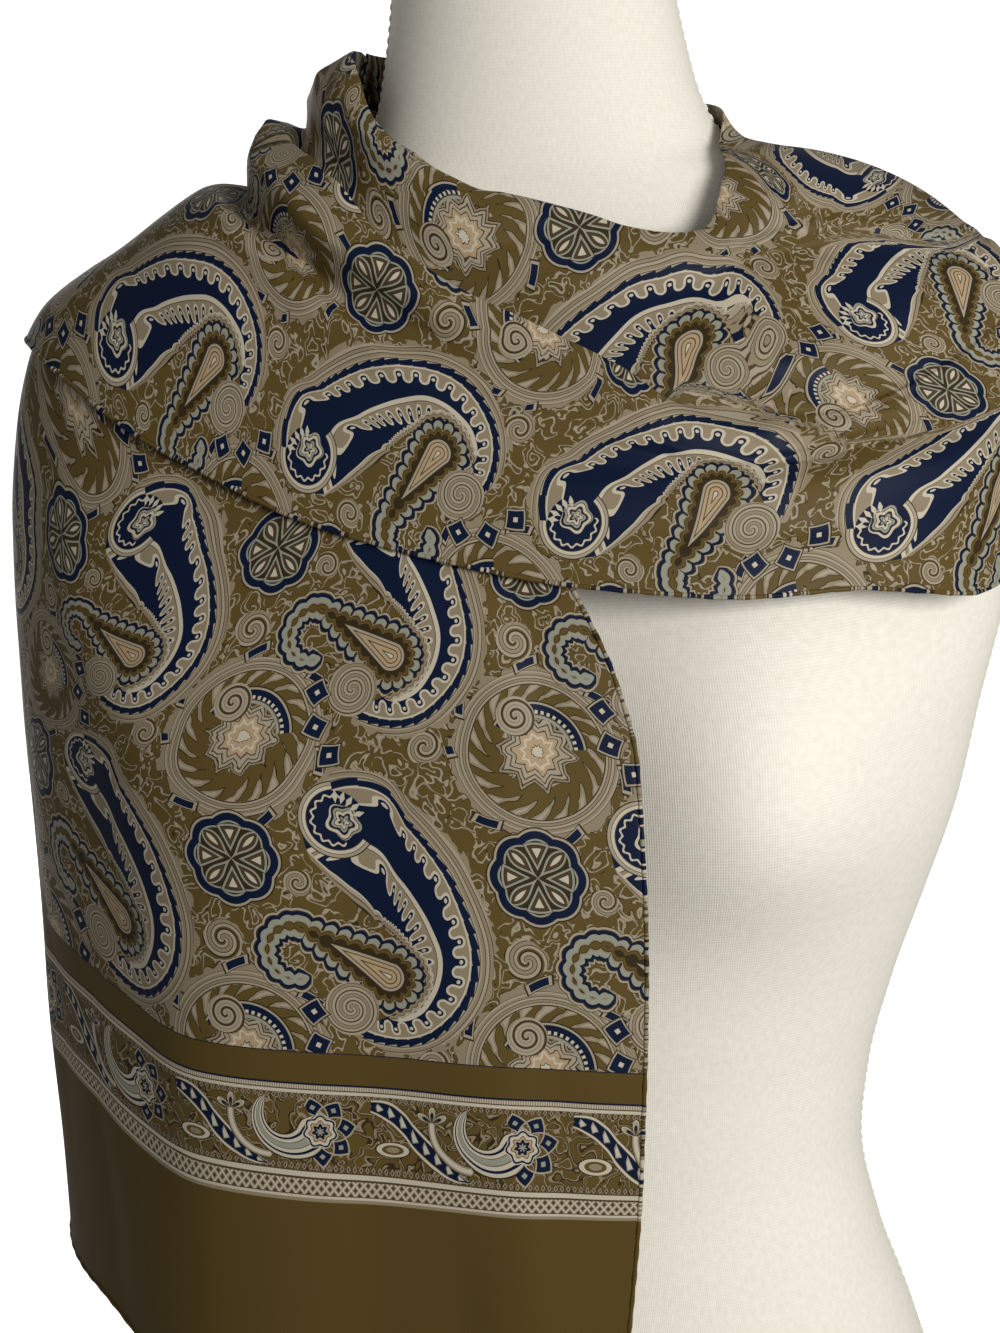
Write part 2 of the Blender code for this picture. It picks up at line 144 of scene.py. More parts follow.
# threads of the tail: inner edge, soft fold, middle, ridge, its slope and outer edge. Each table
# gives them at some places along the cloth, in millimetres from the hem
TAIL_ANGLES = {           # degrees round the form
    0: (0, -16, -34, -53.5, -72, -89), 80: (4.2, -14, -33, -52, -71, -89),
    190: (7.1, -13, -31.5, -50.5, -70, -89), 235: (7.2, -13, -32, -53.5, -71, -89),
    265: (5, -14.5, -33, -57, -74, -89), 315: (-3.5, -20, -38.5, -66, -78, -90),
    390: (-14, -30, -47, -66, -81, -92), 425: (-20, -33, -48, -64, -80, -92.5),
    470: (-35, -45, -57, -70, -83, -94), 500: (-62, -69, -76, -83, -90, -96),
    525: (-98, -98, -98, -98, -98, -98),
}
TAIL_LEVELS = {           # millimetres above the base
    0: (195, 195, 195, 197, 215, 222), 80: (275, 275, 275, 277, 285, 290),
    190: (385, 385, 385, 385, 388, 390), 235: (430, 430, 430, 430, 432, 434),
    265: (460, 460, 460, 460, 462, 464), 315: (507, 507, 509, 513, 518, 524),
    390: (575, 574, 574, 575, 578, 583), 425: (605, 603, 600, 598, 598, 600),
    470: (643, 637, 632, 627, 622, 618), 500: (664, 657, 650, 643, 637, 631),
    525: (676, 668, 660, 652, 644, 636),
}
TAIL_LIFTS = {            # millimetres off the draping surface
    0: (1.5, 6, 1, 11, 1, 4), 80: (1.5, 5, 1, 10.5, 0, 3), 190: (1.2, 2.6, 1.1, 9, -0.5, 3),
    235: (1.2, 2, 1.1, 8, 0, 3), 265: (1.2, 2, 1.4, 7, 0.5, 2.5),
    315: (1.5, 1.8, 1.6, 3.5, 1.5, 1.8), 390: (1.5, 1.6, 1.6, 1.6, 1.5, 1.6),
    425: (1.5, 1.6, 1.6, 1.6, 1.5, 1.6), 470: (2, 1.8, 1.6, 1.6, 1.5, 1.6),
    500: (2.5, 2, 1.6, 1.6, 1.5, 1.6), 525: (1.6, 1.6, 1.6, 1.6, 1.6, 1.6),
}
TAIL_DENTS = (            # place, thread, half length, lean, half width, depth
    (355, 1.2, 34, 0.006, 0.22, -2.2), (338, 1.75, 46, 0.0075, 0.2, 1.6),
    (322, 2.55, 38, 0.004, 0.26, -1.6), (300, 3.3, 60, 0.003, 0.24, 1.4),
    (285, 0.55, 44, -0.0015, 0.2, -1.5), (262, 0.95, 55, -0.001, 0.26, 1.3),
    (240, 2.1, 70, 0.0022, 0.3, -1.2), (205, 4.3, 52, -0.002, 0.22, -2),
    (175, 1.5, 66, 0.0012, 0.28, 1), (150, 3.45, 84, 0.0018, 0.2, -2.4),
    (120, 4.45, 60, 0, 0.2, 2.2), (95, 0.7, 58, 0.002, 0.24, -1.3),
    (60, 2.35, 70, -0.0015, 0.3, 1.6), (35, 3.75, 46, 0.003, 0.22, -1.8),
    (25, 1.45, 40, 0, 0.26, -1.6),
)
TAIL_TUCKED = {0: 0, 235: 0, 256: 2, 314: 26, 340: 45, 525: 60}     # cloth under the inner edge
TAIL_GATHERED = {0: 1, 235: 1, 256: 1.06, 314: 1.2, 525: 1.2}       # and taken up in small gathers
TAIL_PULL = (10, 38)     # how much the cloth is pulled up at its inner and outer edge
TAIL_PULL_RUN = 0.090    # run over which that pull builds up from the hem
TAIL_GRID = (210, 130)
TAIL_LENGTH = 0.525
CLOTH_WALL = 0.0004      # silk twill with its print, a little over its real thickness
SCARF_WIDTH = 0.3
SCARF_LENGTH = 1.585
HEM_RADIUS = 0.0009
HEM_PUFF = 0.16          # how much a hem swells between its stitches
HEM_PUFF_PACE = 1.7      # and how fast, in radians a row
HEM_SIDES = 8


def dented(lift, along, thread, dents):
    """Adds small troughs (-) and ridges (+), in millimetres, to how far cloth lifts."""
    for place, middle, long, lean, wide, deep in dents:
        off = along - place
        bell = np.exp(-(off / long) ** 2 - ((thread - middle - lean * off) / wide) ** 2)
        lift = lift + deep * MM * bell
    return lift


def distances(points, axis):
    """How far each point is from the first one, measured along the cloth."""
    steps = np.linalg.norm(np.diff(points, axis=axis), axis=2)
    first = np.zeros_like(np.take(steps, [0], axis))
    return np.concatenate([first, np.cumsum(steps, axis)], axis)


def grid_faces(rows, columns, closed=False):
    """Four-cornered faces between neighbouring rows and columns of points; closed rows go round."""
    across_row = np.arange(columns if closed else columns - 1)
    corner = (np.arange(rows - 1)[:, None] * columns + across_row).ravel()
    beside = corner - corner % columns + (corner + 1) % columns
    return np.stack([corner, beside, beside + columns, corner + columns], 1)


def piece(name, spots, faces, paint, layer="", flat=None):
    """A mesh with its finish, and where each corner of its faces lies on a flat layer."""
    mesh = bpy.data.meshes.new(name)
    mesh.from_pydata(np.reshape(spots, (-1, 3)).tolist(), [], faces)
    if layer:
        on_flat = mesh.uv_layers.new(name=layer)
    if flat is not None:
        on_flat.data.foreach_set("uv", flat.astype(np.float32).ravel())
        mesh.polygons.foreach_set("use_smooth", [True] * len(faces))
    mesh.materials.append(paint)
    made = bpy.data.objects.new(name, mesh)
    bpy.context.scene.collection.objects.link(made)
    return made


def cloth(name, points, flat, paint, node):
    """A stretch of cloth with its place on the flat scarf kept as a UV map."""
    rows, columns = points.shape[:2]
    faces = grid_faces(rows, columns)
    spots = points.reshape(-1, 3)
    sample = spots[faces[(rows // 2) * (columns - 1) + columns // 2]]
    normal = np.cross(sample[1] - sample[0], sample[3] - sample[0])
    if normal[0] * sample[0][0] + normal[1] * sample[0][1] < 0:
        faces = faces[:, ::-1]
    on_flat = flat.reshape(-1, 2)[faces.ravel()]
    made = piece(name, spots, faces.tolist(), paint, "flat_cloth", on_flat)
    wall = made.modifiers.new("wall", "SOLIDIFY")
    wall.thickness = CLOTH_WALL
    wall.offset = 0
    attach(made, "root")
    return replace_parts(made, node)


def rolled_hem(name, line, flat, paint):
    """A hem rolled by hand along an edge of the cloth: a thin tube that carries the print on."""
    ahead = np.gradient(line, axis=0)
    ahead /= np.linalg.norm(ahead, axis=1, keepdims=True)
    out = line * (1, 1, 0)
    out -= ahead * (out * ahead).sum(1, keepdims=True)
    out /= np.linalg.norm(out, axis=1, keepdims=True)
    aside = np.cross(ahead, out)
    turns = np.arange(HEM_SIDES)[:, None] * 2 * math.pi / HEM_SIDES
    ring = out[:, None] * np.cos(turns) + aside[:, None] * np.sin(turns)
    puffs = 1 + HEM_PUFF * np.sin(np.arange(len(line)) * HEM_PUFF_PACE)[:, None, None]
    faces = grid_faces(len(line), HEM_SIDES, closed=True)[:, ::-1]
    on_flat = np.repeat(flat, HEM_SIDES, 0)[faces.ravel()]
    spots = line[:, None] + ring * puffs * HEM_RADIUS
    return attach(piece(name, spots, faces.tolist(), paint, "flat_cloth", on_flat), "root")


def stretch(node, points, flat, slot, edges):
    """A stretch of the scarf in its silk, and rolled hems along some of its edges."""
    paint = silk(slot)
    made = cloth(node + "_silk", points, flat, paint, node)
    all_edges = {"start": (0, slice(None)), "end": (-1, slice(None)),
                 "inner": (slice(None), 0), "outer": (slice(None), -1)}
    hems = []
    for edge in edges:
        rows = all_edges[edge]
        hem = rolled_hem(node + "_" + edge + "_hem", points[rows], flat[rows], paint)
        hems.append(hem)
    return made, hems


class Amount:
    """A number that shader nodes work out; arithmetic on it adds the nodes."""

    def __init__(self, socket):
        self.socket = socket

    def __rsub__(self, other):
        return sums("SUBTRACT", other, self)


for name, kind in (("add", "ADD"), ("sub", "SUBTRACT"), ("mul", "MULTIPLY"), ("truediv", "DIVIDE"),
                   ("lt", "LESS_THAN"), ("gt", "GREATER_THAN"), ("abs", "ABSOLUTE")):
    setattr(Amount, f"__{name}__", lambda *values, kind=kind: sums(kind, *values))

drawing = bpy.data.node_groups.new("scarf_print", "ShaderNodeTree")
drawing.interface.new_socket("Colour", in_out="OUTPUT", socket_type="NodeSocketColor")


def set_socket(socket, value):
    if isinstance(value, Amount):
        drawing.links.new(value.socket, socket)
    else:
        socket.default_value = value


def sums(kind, *values, on="Math", out=0):
    node = drawing.nodes.new("ShaderNode" + on)
    node.operation = kind
    for socket, value in zip(node.inputs, values):
        set_socket(socket, value)
    return Amount(node.outputs[out])


def spot_sums(kind, *values, out="Vector"):
    return sums(kind, *values, on="VectorMath", out=out)


def least(*values):
    return sums("MINIMUM", *values)


def most(*values):
    return sums("MAXIMUM", *values)


def saw(value):
    """Runs from 0 to 1 over and over."""
    return sums("FRACT", value)


def folded(value, half):
    """Distance from the nearest of a row of lines that lie two halves apart."""
    return abs(sums("WRAP", value, half, -half))


def whole_turn(turn):
    """A turn counted from 0 to 360 degrees."""
    return sums("WRAP", turn, 360, 0)


def wave(turn, times):
    return sums("SINE", turn * (times * DEGREE))


def curve(value, size, points):
    """A given curve: points are (value, amount); amounts lie between 0 and size."""
    node = drawing.nodes.new("ShaderNodeFloatCurve")
    line = node.mapping.curves[0]
    low, high = points[0][0], points[-1][0]
    spots = [((x - low) / (high - low), y / size) for x, y in points]
    line.points[0].location = spots[0]
    line.points[1].location = spots[-1]
    for spot in spots[1:-1]:
        line.points.new(*spot)
    node.mapping.update()
    set_socket(node.inputs["Value"], (value - low) / (high - low))
    return Amount(node.outputs[0]) * size


def bands(value, high, *stops):
    """Flat bands of dye: each stop is (where the band starts, its colour)."""
    node = drawing.nodes.new("ShaderNodeValToRGB")
    ramp = node.color_ramp
    ramp.interpolation = "CONSTANT"
    while len(ramp.elements) > 1:
        ramp.elements.remove(ramp.elements[-1])
    low = stops[0][0]
    ramp.elements[0].position = 0
    ramp.elements[0].color = stops[0][1]
    for start, colour in stops[1:]:
        element = ramp.elements.new(max(0, min(1, (start - low) / (high - low))))
        element.color = colour
    set_socket(node.inputs[0], (value - low) / (high - low))
    return Amount(node.outputs[0])


def over(under, top, where):
    node = drawing.nodes.new("ShaderNodeMix")
    node.data_type = "RGBA"
    for place, value in ((0, where), (6, under), (7, top)):
        set_socket(node.inputs[place], value)
    return Amount(node.outputs[2])


def split(place):
    """The two numbers of a flat place."""
    node = drawing.nodes.new("ShaderNodeSeparateXYZ")
    drawing.links.new(place.socket, node.inputs[0])
    return Amount(node.outputs[0]), Amount(node.outputs[1])


def dye(red, green, blue):
    """A printed colour given as 0-255 screen values."""
    return (*(((c / 255 + 0.055) / 1.055) ** 2.4 for c in (red, green, blue)), 1)


OLIVE = dye(88, 72, 34)
UMBER = dye(49, 39, 20)
TAUPE = dye(136, 123, 101)
STONE = dye(155, 145, 125)
CREAM = dye(185, 177, 158)
SAGE = dye(140, 141, 127)
NAVY = dye(6, 20, 47)
TAN = dye(166, 144, 113)
BROWN = dye(72, 57, 38)
OLIVE_PLAIN = dye(82, 66, 28)

CELL_WIDE = 300          # one repeat of the print, in drawing units
CELL_TALL = 318
UNIT = 0.000377          # metres in one drawing unit
FIRST_MEDALLION = (0.035, 0.182)
HOOK_WIDE = CELL_WIDE / 8
HOOK_TALL = CELL_TALL / 8
GROUND_SCALE = 1 / 21    # of the noise that the ground's ragged lines follow
DROP_LONG = 99.3         # from the round end of the small paisley to its tail
BORDER_TOP = 109.8       # millimetres above the hem
BORDER_MIDDLE = 79
BORDER_START = 255       # millimetres across, where one repeat of the border starts
DEGREE = math.pi / 180


def polar(place, x=0, y=0):
    """Distance and turn (degrees) of a flat place, as seen from a spot."""
    if x or y:
        place = spot_sums("SUBTRACT", place, (x, y, 0))
    far = spot_sums("LENGTH", place, out="Value")
    aside, ahead = split(place)
    return far, sums("ARCTAN2", ahead, aside) * (180 / math.pi)


def at(centre, left=-CELL_WIDE / 2, below=-CELL_TALL / 2):
    """Place measured from a motif's centre, from cell to cell, with its distance and turn."""
    moved = spot_sums("SUBTRACT", drawing_place, (*centre, 0))
    local = spot_sums("WRAP", moved, (left + CELL_WIDE, below + CELL_TALL, 1), (left, below, -1))
    return local, *polar(local)


def curl(centre, lap_width, hand):
    """A rolled-up vine: how far out it is, and its laps as a 0-1 saw."""
    local, far, turn = at(centre)
    return far, saw(far / lap_width + turn * (hand / 360))


SCALLOP_RADIUS = 4.25
SCALLOP_PITCH = 8.5
SCALLOP_DEPTH = 4


def scalloped(deep, aside, start):
    """Distance from a scalloped line between a pale strip (+) and the navy beyond it (-)."""
    outward = least(deep - start, 0)
    inward = most(deep - (start + SCALLOP_DEPTH), 0)
    beside = abs(aside)
    cell = sums("SQRT", aside * aside + outward * outward) - SCALLOP_RADIUS
    gap = sums("SQRT", (SCALLOP_PITCH - beside) * (SCALLOP_PITCH - beside) + inward * inward)
    finger = SCALLOP_RADIUS - gap
    return cell + (finger - cell) * (deep > start + SCALLOP_DEPTH / 2)


def inside_of(low, value, high):
    return (value > low) * (value < high)


def set_inputs(node, values):
    for name, value in values.items():
        node.inputs[name].default_value = value


out = drawing.nodes.new("NodeGroupOutput")
uv = drawing.nodes.new("ShaderNodeUVMap")
uv.uv_map = "flat_cloth"
flat_place = Amount(uv.outputs[0])
from_medallion = spot_sums("SUBTRACT", flat_place, (*FIRST_MEDALLION, 0))
drawing_place = spot_sums("MULTIPLY", from_medallion, (1 / UNIT, 1 / UNIT, 0))

# ground: small taupe hooks turned every way, and sprigs with ragged edges, on olive
noise = drawing.nodes.new("ShaderNodeTexNoise")
noise.noise_dimensions = "2D"
set_inputs(noise, {"Scale": GROUND_SCALE, "Detail": 1.3, "Roughness": 0.68, "Distortion": 0.35})
drawing.links.new(drawing_place.socket, noise.inputs["Vector"])
level = Amount(noise.outputs["Fac"])
dyed = bands(level, 0.7, (0.3, OLIVE), (0.396, UMBER), (0.403, TAUPE), (0.424, STONE),
    (0.44, TAUPE), (0.458, UMBER), (0.466, OLIVE))
ragged = (level - 0.5) * 30
tuft = spot_sums("WRAP", drawing_place, (HOOK_WIDE, HOOK_TALL, 1), (0, 0, -1))
far, turn = polar(tuft, HOOK_WIDE / 2, HOOK_TALL / 2)
lap = saw((far + ragged * 0.35) / 12 + turn / 360 + level * 4)
hooks = bands(lap, 1, (0, OLIVE), (0.3, UMBER), (0.36, TAUPE), (0.46, STONE), (0.6, TAUPE),
    (0.7, UMBER), (0.76, OLIVE))
dyed = over(dyed, hooks, far + ragged * 0.7 < 15)

# round vine with spikes that point inward, and a palmette in the middle
local, far, turn = at((6, -194))
lean = folded(turn + far * 1.1, 10) * DEGREE * far
spike = lean - (far - 49 + ragged * 0.9) * 0.36
spikes = bands(spike, 4, (-6, STONE), (-2.6, TAUPE), (0.4, UMBER), (1.6, OLIVE))
dyed = over(dyed, spikes, inside_of(36, far, 66))
zig = sums("PINGPONG", turn + 6, 18) * (1 / 18)
petal = far * (zig * 0.28 + 0.84) + least(ragged, 2) * 0.5
palmette = bands(petal, 60, (0, CREAM), (5, BROWN), (6, TAN), (12, CREAM), (15, TAN), (19, BROWN),
    (20.6, STONE), (25, BROWN), (26.6, STONE), (30, UMBER), (31.5, TAUPE), (34, UMBER))
dyed = over(dyed, palmette, petal < 35.5)
vine = bands(far, 90, (60, UMBER), (67.5, STONE), (69.4, BROWN), (70.1, TAUPE), (72.4, BROWN),
    (73.1, STONE), (75.4, BROWN), (76.1, TAUPE), (78.4, STONE), (80.4, UMBER))
dyed = over(dyed, vine, inside_of(66.5, far, 81.5))
thorns = bands(far - ragged, 100, (60, TAUPE), (86, UMBER))
dyed = over(dyed, thorns, inside_of(81, far, 94) * (far - ragged < 87))
leaf = folded(turn + far * 0.8, 27.7) * 0.9 + abs(far - 88) * 0.8
leaves = bands(leaf, 12, (0, NAVY), (6, STONE), (7.8, UMBER))
dyed = over(dyed, leaves, leaf < 9)
# the palmette's chequered hood and its curl
check = saw(turn / 9) < 0.5
hood = bands(far, 56, (30, UMBER), (33, SAGE), (36, BROWN), (37.5, CREAM), (41, NAVY),
    (47, STONE), (49, UMBER))
hood = over(hood, NAVY, check * inside_of(37.5, far, 47))
dyed = over(dyed, hood, inside_of(33, far, 50.5) * inside_of(5, turn, 150))
far, lap = curl((-14, -160), 9, 1)
laps = bands(lap, 1, (0, UMBER), (0.14, STONE), (0.4, TAUPE), (0.55, STONE), (0.85, BROWN))
dyed = over(dyed, laps, far < 20)

# medallion: scalloped ring, four long petals, four fans with a dot
local, far, turn = at((0, 0))
lobe = far - abs(sums("COSINE", turn * (4 * DEGREE))) * 4
ring = bands(lobe, 60, (0, UMBER), (33, SAGE), (34.8, NAVY), (42.5, STONE), (45, UMBER))
dyed = over(dyed, ring, lobe < 46.5)
aside = folded(turn - 45, 45) * DEGREE * far
petal = aside - far * far * (40 - far) * 0.0008
beside = folded(turn, 45) * DEGREE * far
fan = most(beside - (far - 8) * 0.46, far - 35)
both = least(petal, fan)
inside = bands(both, 3, (-12, CREAM), (-5.4, BROWN), (-2.6, UMBER), (-1.8, SAGE), (0.3, UMBER))
dyed = over(dyed, inside, (both < 1) * (far < 37.5))

# small paisley: a drop with a hooked tail, edged with pale scallops inside a navy line
local, far, turn = at((150, -110), left=-190, below=-110)
along = spot_sums("DOT_PRODUCT", local, (-88 / DROP_LONG, 46 / DROP_LONG, 0), out="Value")
side = abs(spot_sums("DOT_PRODUCT", local, (46 / DROP_LONG, 88 / DROP_LONG, 0), out="Value"))
up = most(least(along, DROP_LONG), 0)
off = along - up
gap = sums("SQRT", off * off + side * side)
drop = gap - (31 - up * 0.225)
knots = (sums("ARCTAN2", side, abs(least(along, 0))) * -31 - up) / 14
bump = abs(sums("SINE", knots * math.pi))
hook_far, hook_turn = polar(local, -93, 19)
hook_round = whole_turn(hook_turn - 60)
hook = abs(hook_far - 27) - (11 - hook_round * 0.026)
hook_bump = abs(sums("SINE", hook_round * (math.pi / 26)))
hook_edge = hook - hook_bump * 3 + most(hook_round - 235, 0)
drop_edge = drop - bump * 4.5
edge = least(drop_edge, hook_edge)
notch = over(SAGE, UMBER, (bump < 0.3) * (drop_edge < hook_edge))
small = bands(edge, 8, (-24, UMBER), (-13, OLIVE), (-9.4, UMBER), (-8.4, TAUPE), (-7, SAGE))
small = over(small, notch, edge > -7)
rim = bands(edge, 8, (-4, SAGE), (-1.8, NAVY), (1.6, UMBER), (3, STONE), (5.4, UMBER))
small = over(small, rim, edge > -1.8)
heart = bands(drop, -8, (-32, CREAM), (-29, BROWN), (-28, TAN), (-24.5, BROWN), (-23.4, TAN),
    (-20, BROWN), (-19, STONE), (-16.5, UMBER))
small = over(small, heart, drop < -15.5)
dyed = over(dyed, small, edge < 6.2)

# striped curls
for centre, size, hand in (((-14, -84), 21, 1), ((64, -20), 14, -1), ((195, -196), 17, -1)):
    far, lap = curl(centre, size * 0.72, hand)
    stripes = bands(lap, 1, (0, OLIVE), (0.12, STONE), (0.3, BROWN), (0.36, TAUPE), (0.6, BROWN),
        (0.66, STONE), (0.88, UMBER))
    dyed = over(dyed, stripes, far - ragged * 0.4 < size)

# big paisley: each outline is given as a distance from the middle of its bowl
local, far, turn = at((140, -95), left=-130, below=-109)
outer = curve(turn, 200, [(-180, 40), (-118, 60), (-108, 78), (-95, 86), (-75, 96), (-46, 101),
    (-24, 108), (-2, 113), (15, 117), (36, 126), (56, 144), (72, 160), (96, 190), (103, 185),
    (109, 178), (116, 156), (121, 126), (124, 100), (130, 80), (180, 60)])
inner = curve(turn, 200, [(-180, 90), (-118, 80), (-108, 74), (-95, 66), (-75, 58), (-48, 55),
    (-24, 53), (1, 46), (32, 35), (71, 37.5), (84, 42), (102, 56), (115, 84), (119.5, 106),
    (121.5, 125), (124, 140), (130, 150), (180, 160)])
spine = curve(turn, 200, [(-180, 30), (-108, 40), (-91, 48), (-74, 61), (-52, 64), (-29, 62),
    (7, 63), (38, 66), (73, 87), (93, 117), (118, 125), (180, 125)])
line = curve(turn, 200, [(-180, 60), (-118, 66), (-108, 74), (-88, 80), (-60, 87), (-38, 89),
    (-13, 93), (11, 97), (31, 102), (53, 118), (75, 144), (93, 177), (110, 170), (120, 150),
    (180, 150)])
count = curve(turn, 24, [(-180, 24), (-83, 15), (-30.9, 11), (25, 7), (60.5, 4), (93, 0),
    (180, 0)])
aside = (saw(count) - 0.5) * 17
deep = line - far
# outside of the spine: striped edge, stepped navy line, pale strip, scallops, navy
body = bands(deep, 8, (-24, STONE), (-19, BROWN), (-18.2, TAUPE), (-15, BROWN), (-14.2, STONE),
    (-11, BROWN), (-10.2, TAUPE), (-7, STONE), (-5.4, BROWN), (-4.6, STONE), (3.4, CREAM),
    (5.2, TAUPE))
stepped = deep + saw(count * 1.5) * 2.6
body = over(body, NAVY, inside_of(-2.4, stepped, 5) * (deep < 3.4))
edge = scalloped(deep, aside, 12.5)
body = over(body, bands(edge, 6, (-6, NAVY), (-1.3, CREAM), (0.9, TAUPE)), deep > 6)
dot = aside * aside + (deep - 13.5) * (deep - 13.5)
body = over(body, CREAM, dot < 3.2)
# inside of it: cream spine, pale strip, scallops, navy, beaded rim
past = (spine - far) * 0.74
under = bands(past, 8, (0, CREAM), (2.8, BROWN), (3.4, TAUPE))
edge = scalloped(past, aside, 10.5)
under = over(under, bands(edge, 6, (-6, NAVY), (-1.2, CREAM), (0.9, TAUPE)), past > 4.4)
dot = aside * aside + (past - 11.5) * (past - 11.5)
under = over(under, CREAM, dot < 2.6)
within = (far - inner) / (most(turn - 84, 0) * 0.06 + 1)
rim = within - abs(sums("SINE", count * (math.pi * 1.5))) * 2.4
under = over(under, bands(rim, 8, (-6, UMBER), (-4.4, TAUPE), (-1.6, BROWN), (-0.8, STONE),
    (1.8, CREAM)), rim < 2.8)
body = over(under, body, past < -0.8)
dyed = over(dyed, body, (far < outer) * (within > -4))
dyed = over(dyed, TAUPE, inside_of(0, far - outer, 7) * (far - outer - ragged < 2)
    * inside_of(-110, turn, 118))
# its head: navy with a scalloped line round a swirl, inside a pale ring
head = spot_sums("SUBTRACT", local, (-33.5, 139, 0))
far, turn = polar(head)
crown = bands(far, 42, (0, NAVY), (29.5, BROWN), (30.3, CREAM), (33.5, BROWN), (34.2, STONE),
    (37.2, UMBER))
frill = far + wave(turn, 15) * 1.5
crown = over(crown, CREAM, inside_of(23.2, frill, 25.4) * inside_of(70, whole_turn(turn), 290))
eye, eye_turn = polar(head, 7, -1)
eye = eye + wave(eye_turn, 5) * 1.8
lap = saw(eye / 9.5 + eye_turn / 360)
swirl = bands(lap, 1, (0, CREAM), (0.34, BROWN), (0.44, SAGE), (0.7, NAVY), (0.9, BROWN))
crown = over(crown, swirl, eye < 17)
plume = folded(turn, 9) * 0.35 + abs(far - 23) * 0.35
crown = over(crown, CREAM, (plume < 2.4) * inside_of(10, turn, 100))
round_head = inside_of(95, whole_turn(turn), 325)
dyed = over(dyed, crown, most(far < 29, (far < 38.4) * round_head))

# scroll under its tail, with a chain of navy squares
far, lap = curl((112, -145), 10.5, 1)
swirl = bands(lap, 1, (0, BROWN), (0.1, STONE), (0.36, BROWN), (0.42, TAUPE), (0.68, BROWN),
    (0.74, STONE), (0.96, BROWN))
dyed = over(dyed, swirl, far < 27)
local, far, turn = at((140, -159))
link = folded(turn - 172, 15) * 1.05 + abs(far - 66) * 0.9
chain = bands(link, 20, (0, CREAM), (3, NAVY), (11.5, STONE), (13.5, UMBER))
dyed = over(dyed, chain, (link < 15) * inside_of(155, whole_turn(turn), 246))

# both ends of the scarf: plain band, printed border, braid, and the plain olive end
side, up = split(flat_place)
side = side * 1000
up = least(up, SCARF_LENGTH - up) * 1000
x = sums("WRAP", (side - BORDER_START) * (MM / UNIT), 50, -153)
y = (up - BORDER_MIDDLE) * (MM / UNIT)
corner = drawing.nodes.new("ShaderNodeCombineXYZ")
drawing.links.new(x.socket, corner.inputs[0])
drawing.links.new(y.socket, corner.inputs[1])
here = Amount(corner.outputs[0])
# ground with ticked edges and small sprigs
tick = saw(side * 0.42)
beads = abs(tick - 0.5) * 9 + abs(abs(y) - 36)
band = bands(level, 0.7, (0.3, OLIVE), (0.4, TAUPE), (0.43, UMBER), (0.46, OLIVE), (0.53, TAUPE),
    (0.56, UMBER), (0.6, OLIVE))
band = over(band, bands(beads, 8, (0, BROWN), (1.6, TAUPE), (3.4, UMBER)), beads < 4.4)
# feather
middle = curve(x, 80, [(-180, 66), (-160, 69), (-140, 66), (-122, 55), (-107, 38), (-85, 20),
    (-60, 6), (-48, 3), (0, 0)])
wide = curve(x, 20, [(-180, 0), (-172, 0.5), (-150, 7), (-125, 12), (-105, 13), (-85, 10.5),
    (-65, 5.5), (-46, 0), (0, 0)])
apart = abs(y + 40 - middle) / wide
blob = folded(x + apart * 4, 6) * 0.14 + apart
feather = bands(apart, 2, (0, NAVY), (0.66, BROWN), (0.74, CREAM), (1, UMBER))
feather = over(feather, bands(blob, 1, (0, CREAM), (0.4, SAGE)), blob < 0.56)
band = over(band, feather, (apart < 1.08) * (wide > 0.3))
# trefoil on a curved stem
far, turn = polar(here, -50, 14)
stem = abs(far - 41) + most(turn + 90, 0) * (turn < 175)
band = over(band, bands(stem, 6, (0, CREAM), (2, TAUPE), (3.6, UMBER)), stem < 4.4)
far, turn = polar(here, -91, 17)
lobes = far - abs(wave(turn, 3)) * 15
trefoil = bands(lobes, 4, (-15, BROWN), (-8, NAVY), (-4, STONE), (0, CREAM), (1.4, UMBER))
band = over(band, trefoil, (lobes < 2.4) * (turn > -20))
# small drop
drop = spot_sums("LENGTH", spot_sums("MULTIPLY", spot_sums("SUBTRACT", here, (-130, -15, 0)),
    (0.45, 1, 0)), out="Value")
band = over(band, bands(drop, 12, (0, TAUPE), (3, OLIVE), (5, CREAM), (7.4, UMBER)), drop < 8.2)
# comma paisley with a flowered head
far, turn = polar(here, -32, 14)
wide = curve(turn, 20, [(-180, 6), (-160, 7), (-125, 9), (-90, 12), (-60, 15), (-24, 17.5),
    (0, 11), (20, 1), (60, 0), (135, 0), (155, 4), (180, 6)])
apart = abs(far - 31) / wide
comma = bands(apart, 2, (0, SAGE), (0.22, BROWN), (0.28, CREAM), (0.55, NAVY), (0.74, CREAM),
    (1, UMBER))
band = over(band, comma, (apart < 1.12) * (wide > 0.6))
far, turn = polar(here)
spread = folded(turn - 12, 24) * 0.42 + abs(far - 26)
petals = bands(spread, 12, (0, SAGE), (3, NAVY), (9, STONE))
band = over(band, petals, (spread < 11) * inside_of(15, far, 37) * inside_of(-125, abs(turn - 10),
    112))
frill = far + wave(turn, 7) * 1.4
eye = bands(frill, 20, (0, SAGE), (3, NAVY), (7, TAN), (9.5, BROWN), (10.5, CREAM), (14, NAVY),
    (16, CREAM))
band = over(band, eye, frill < 17)
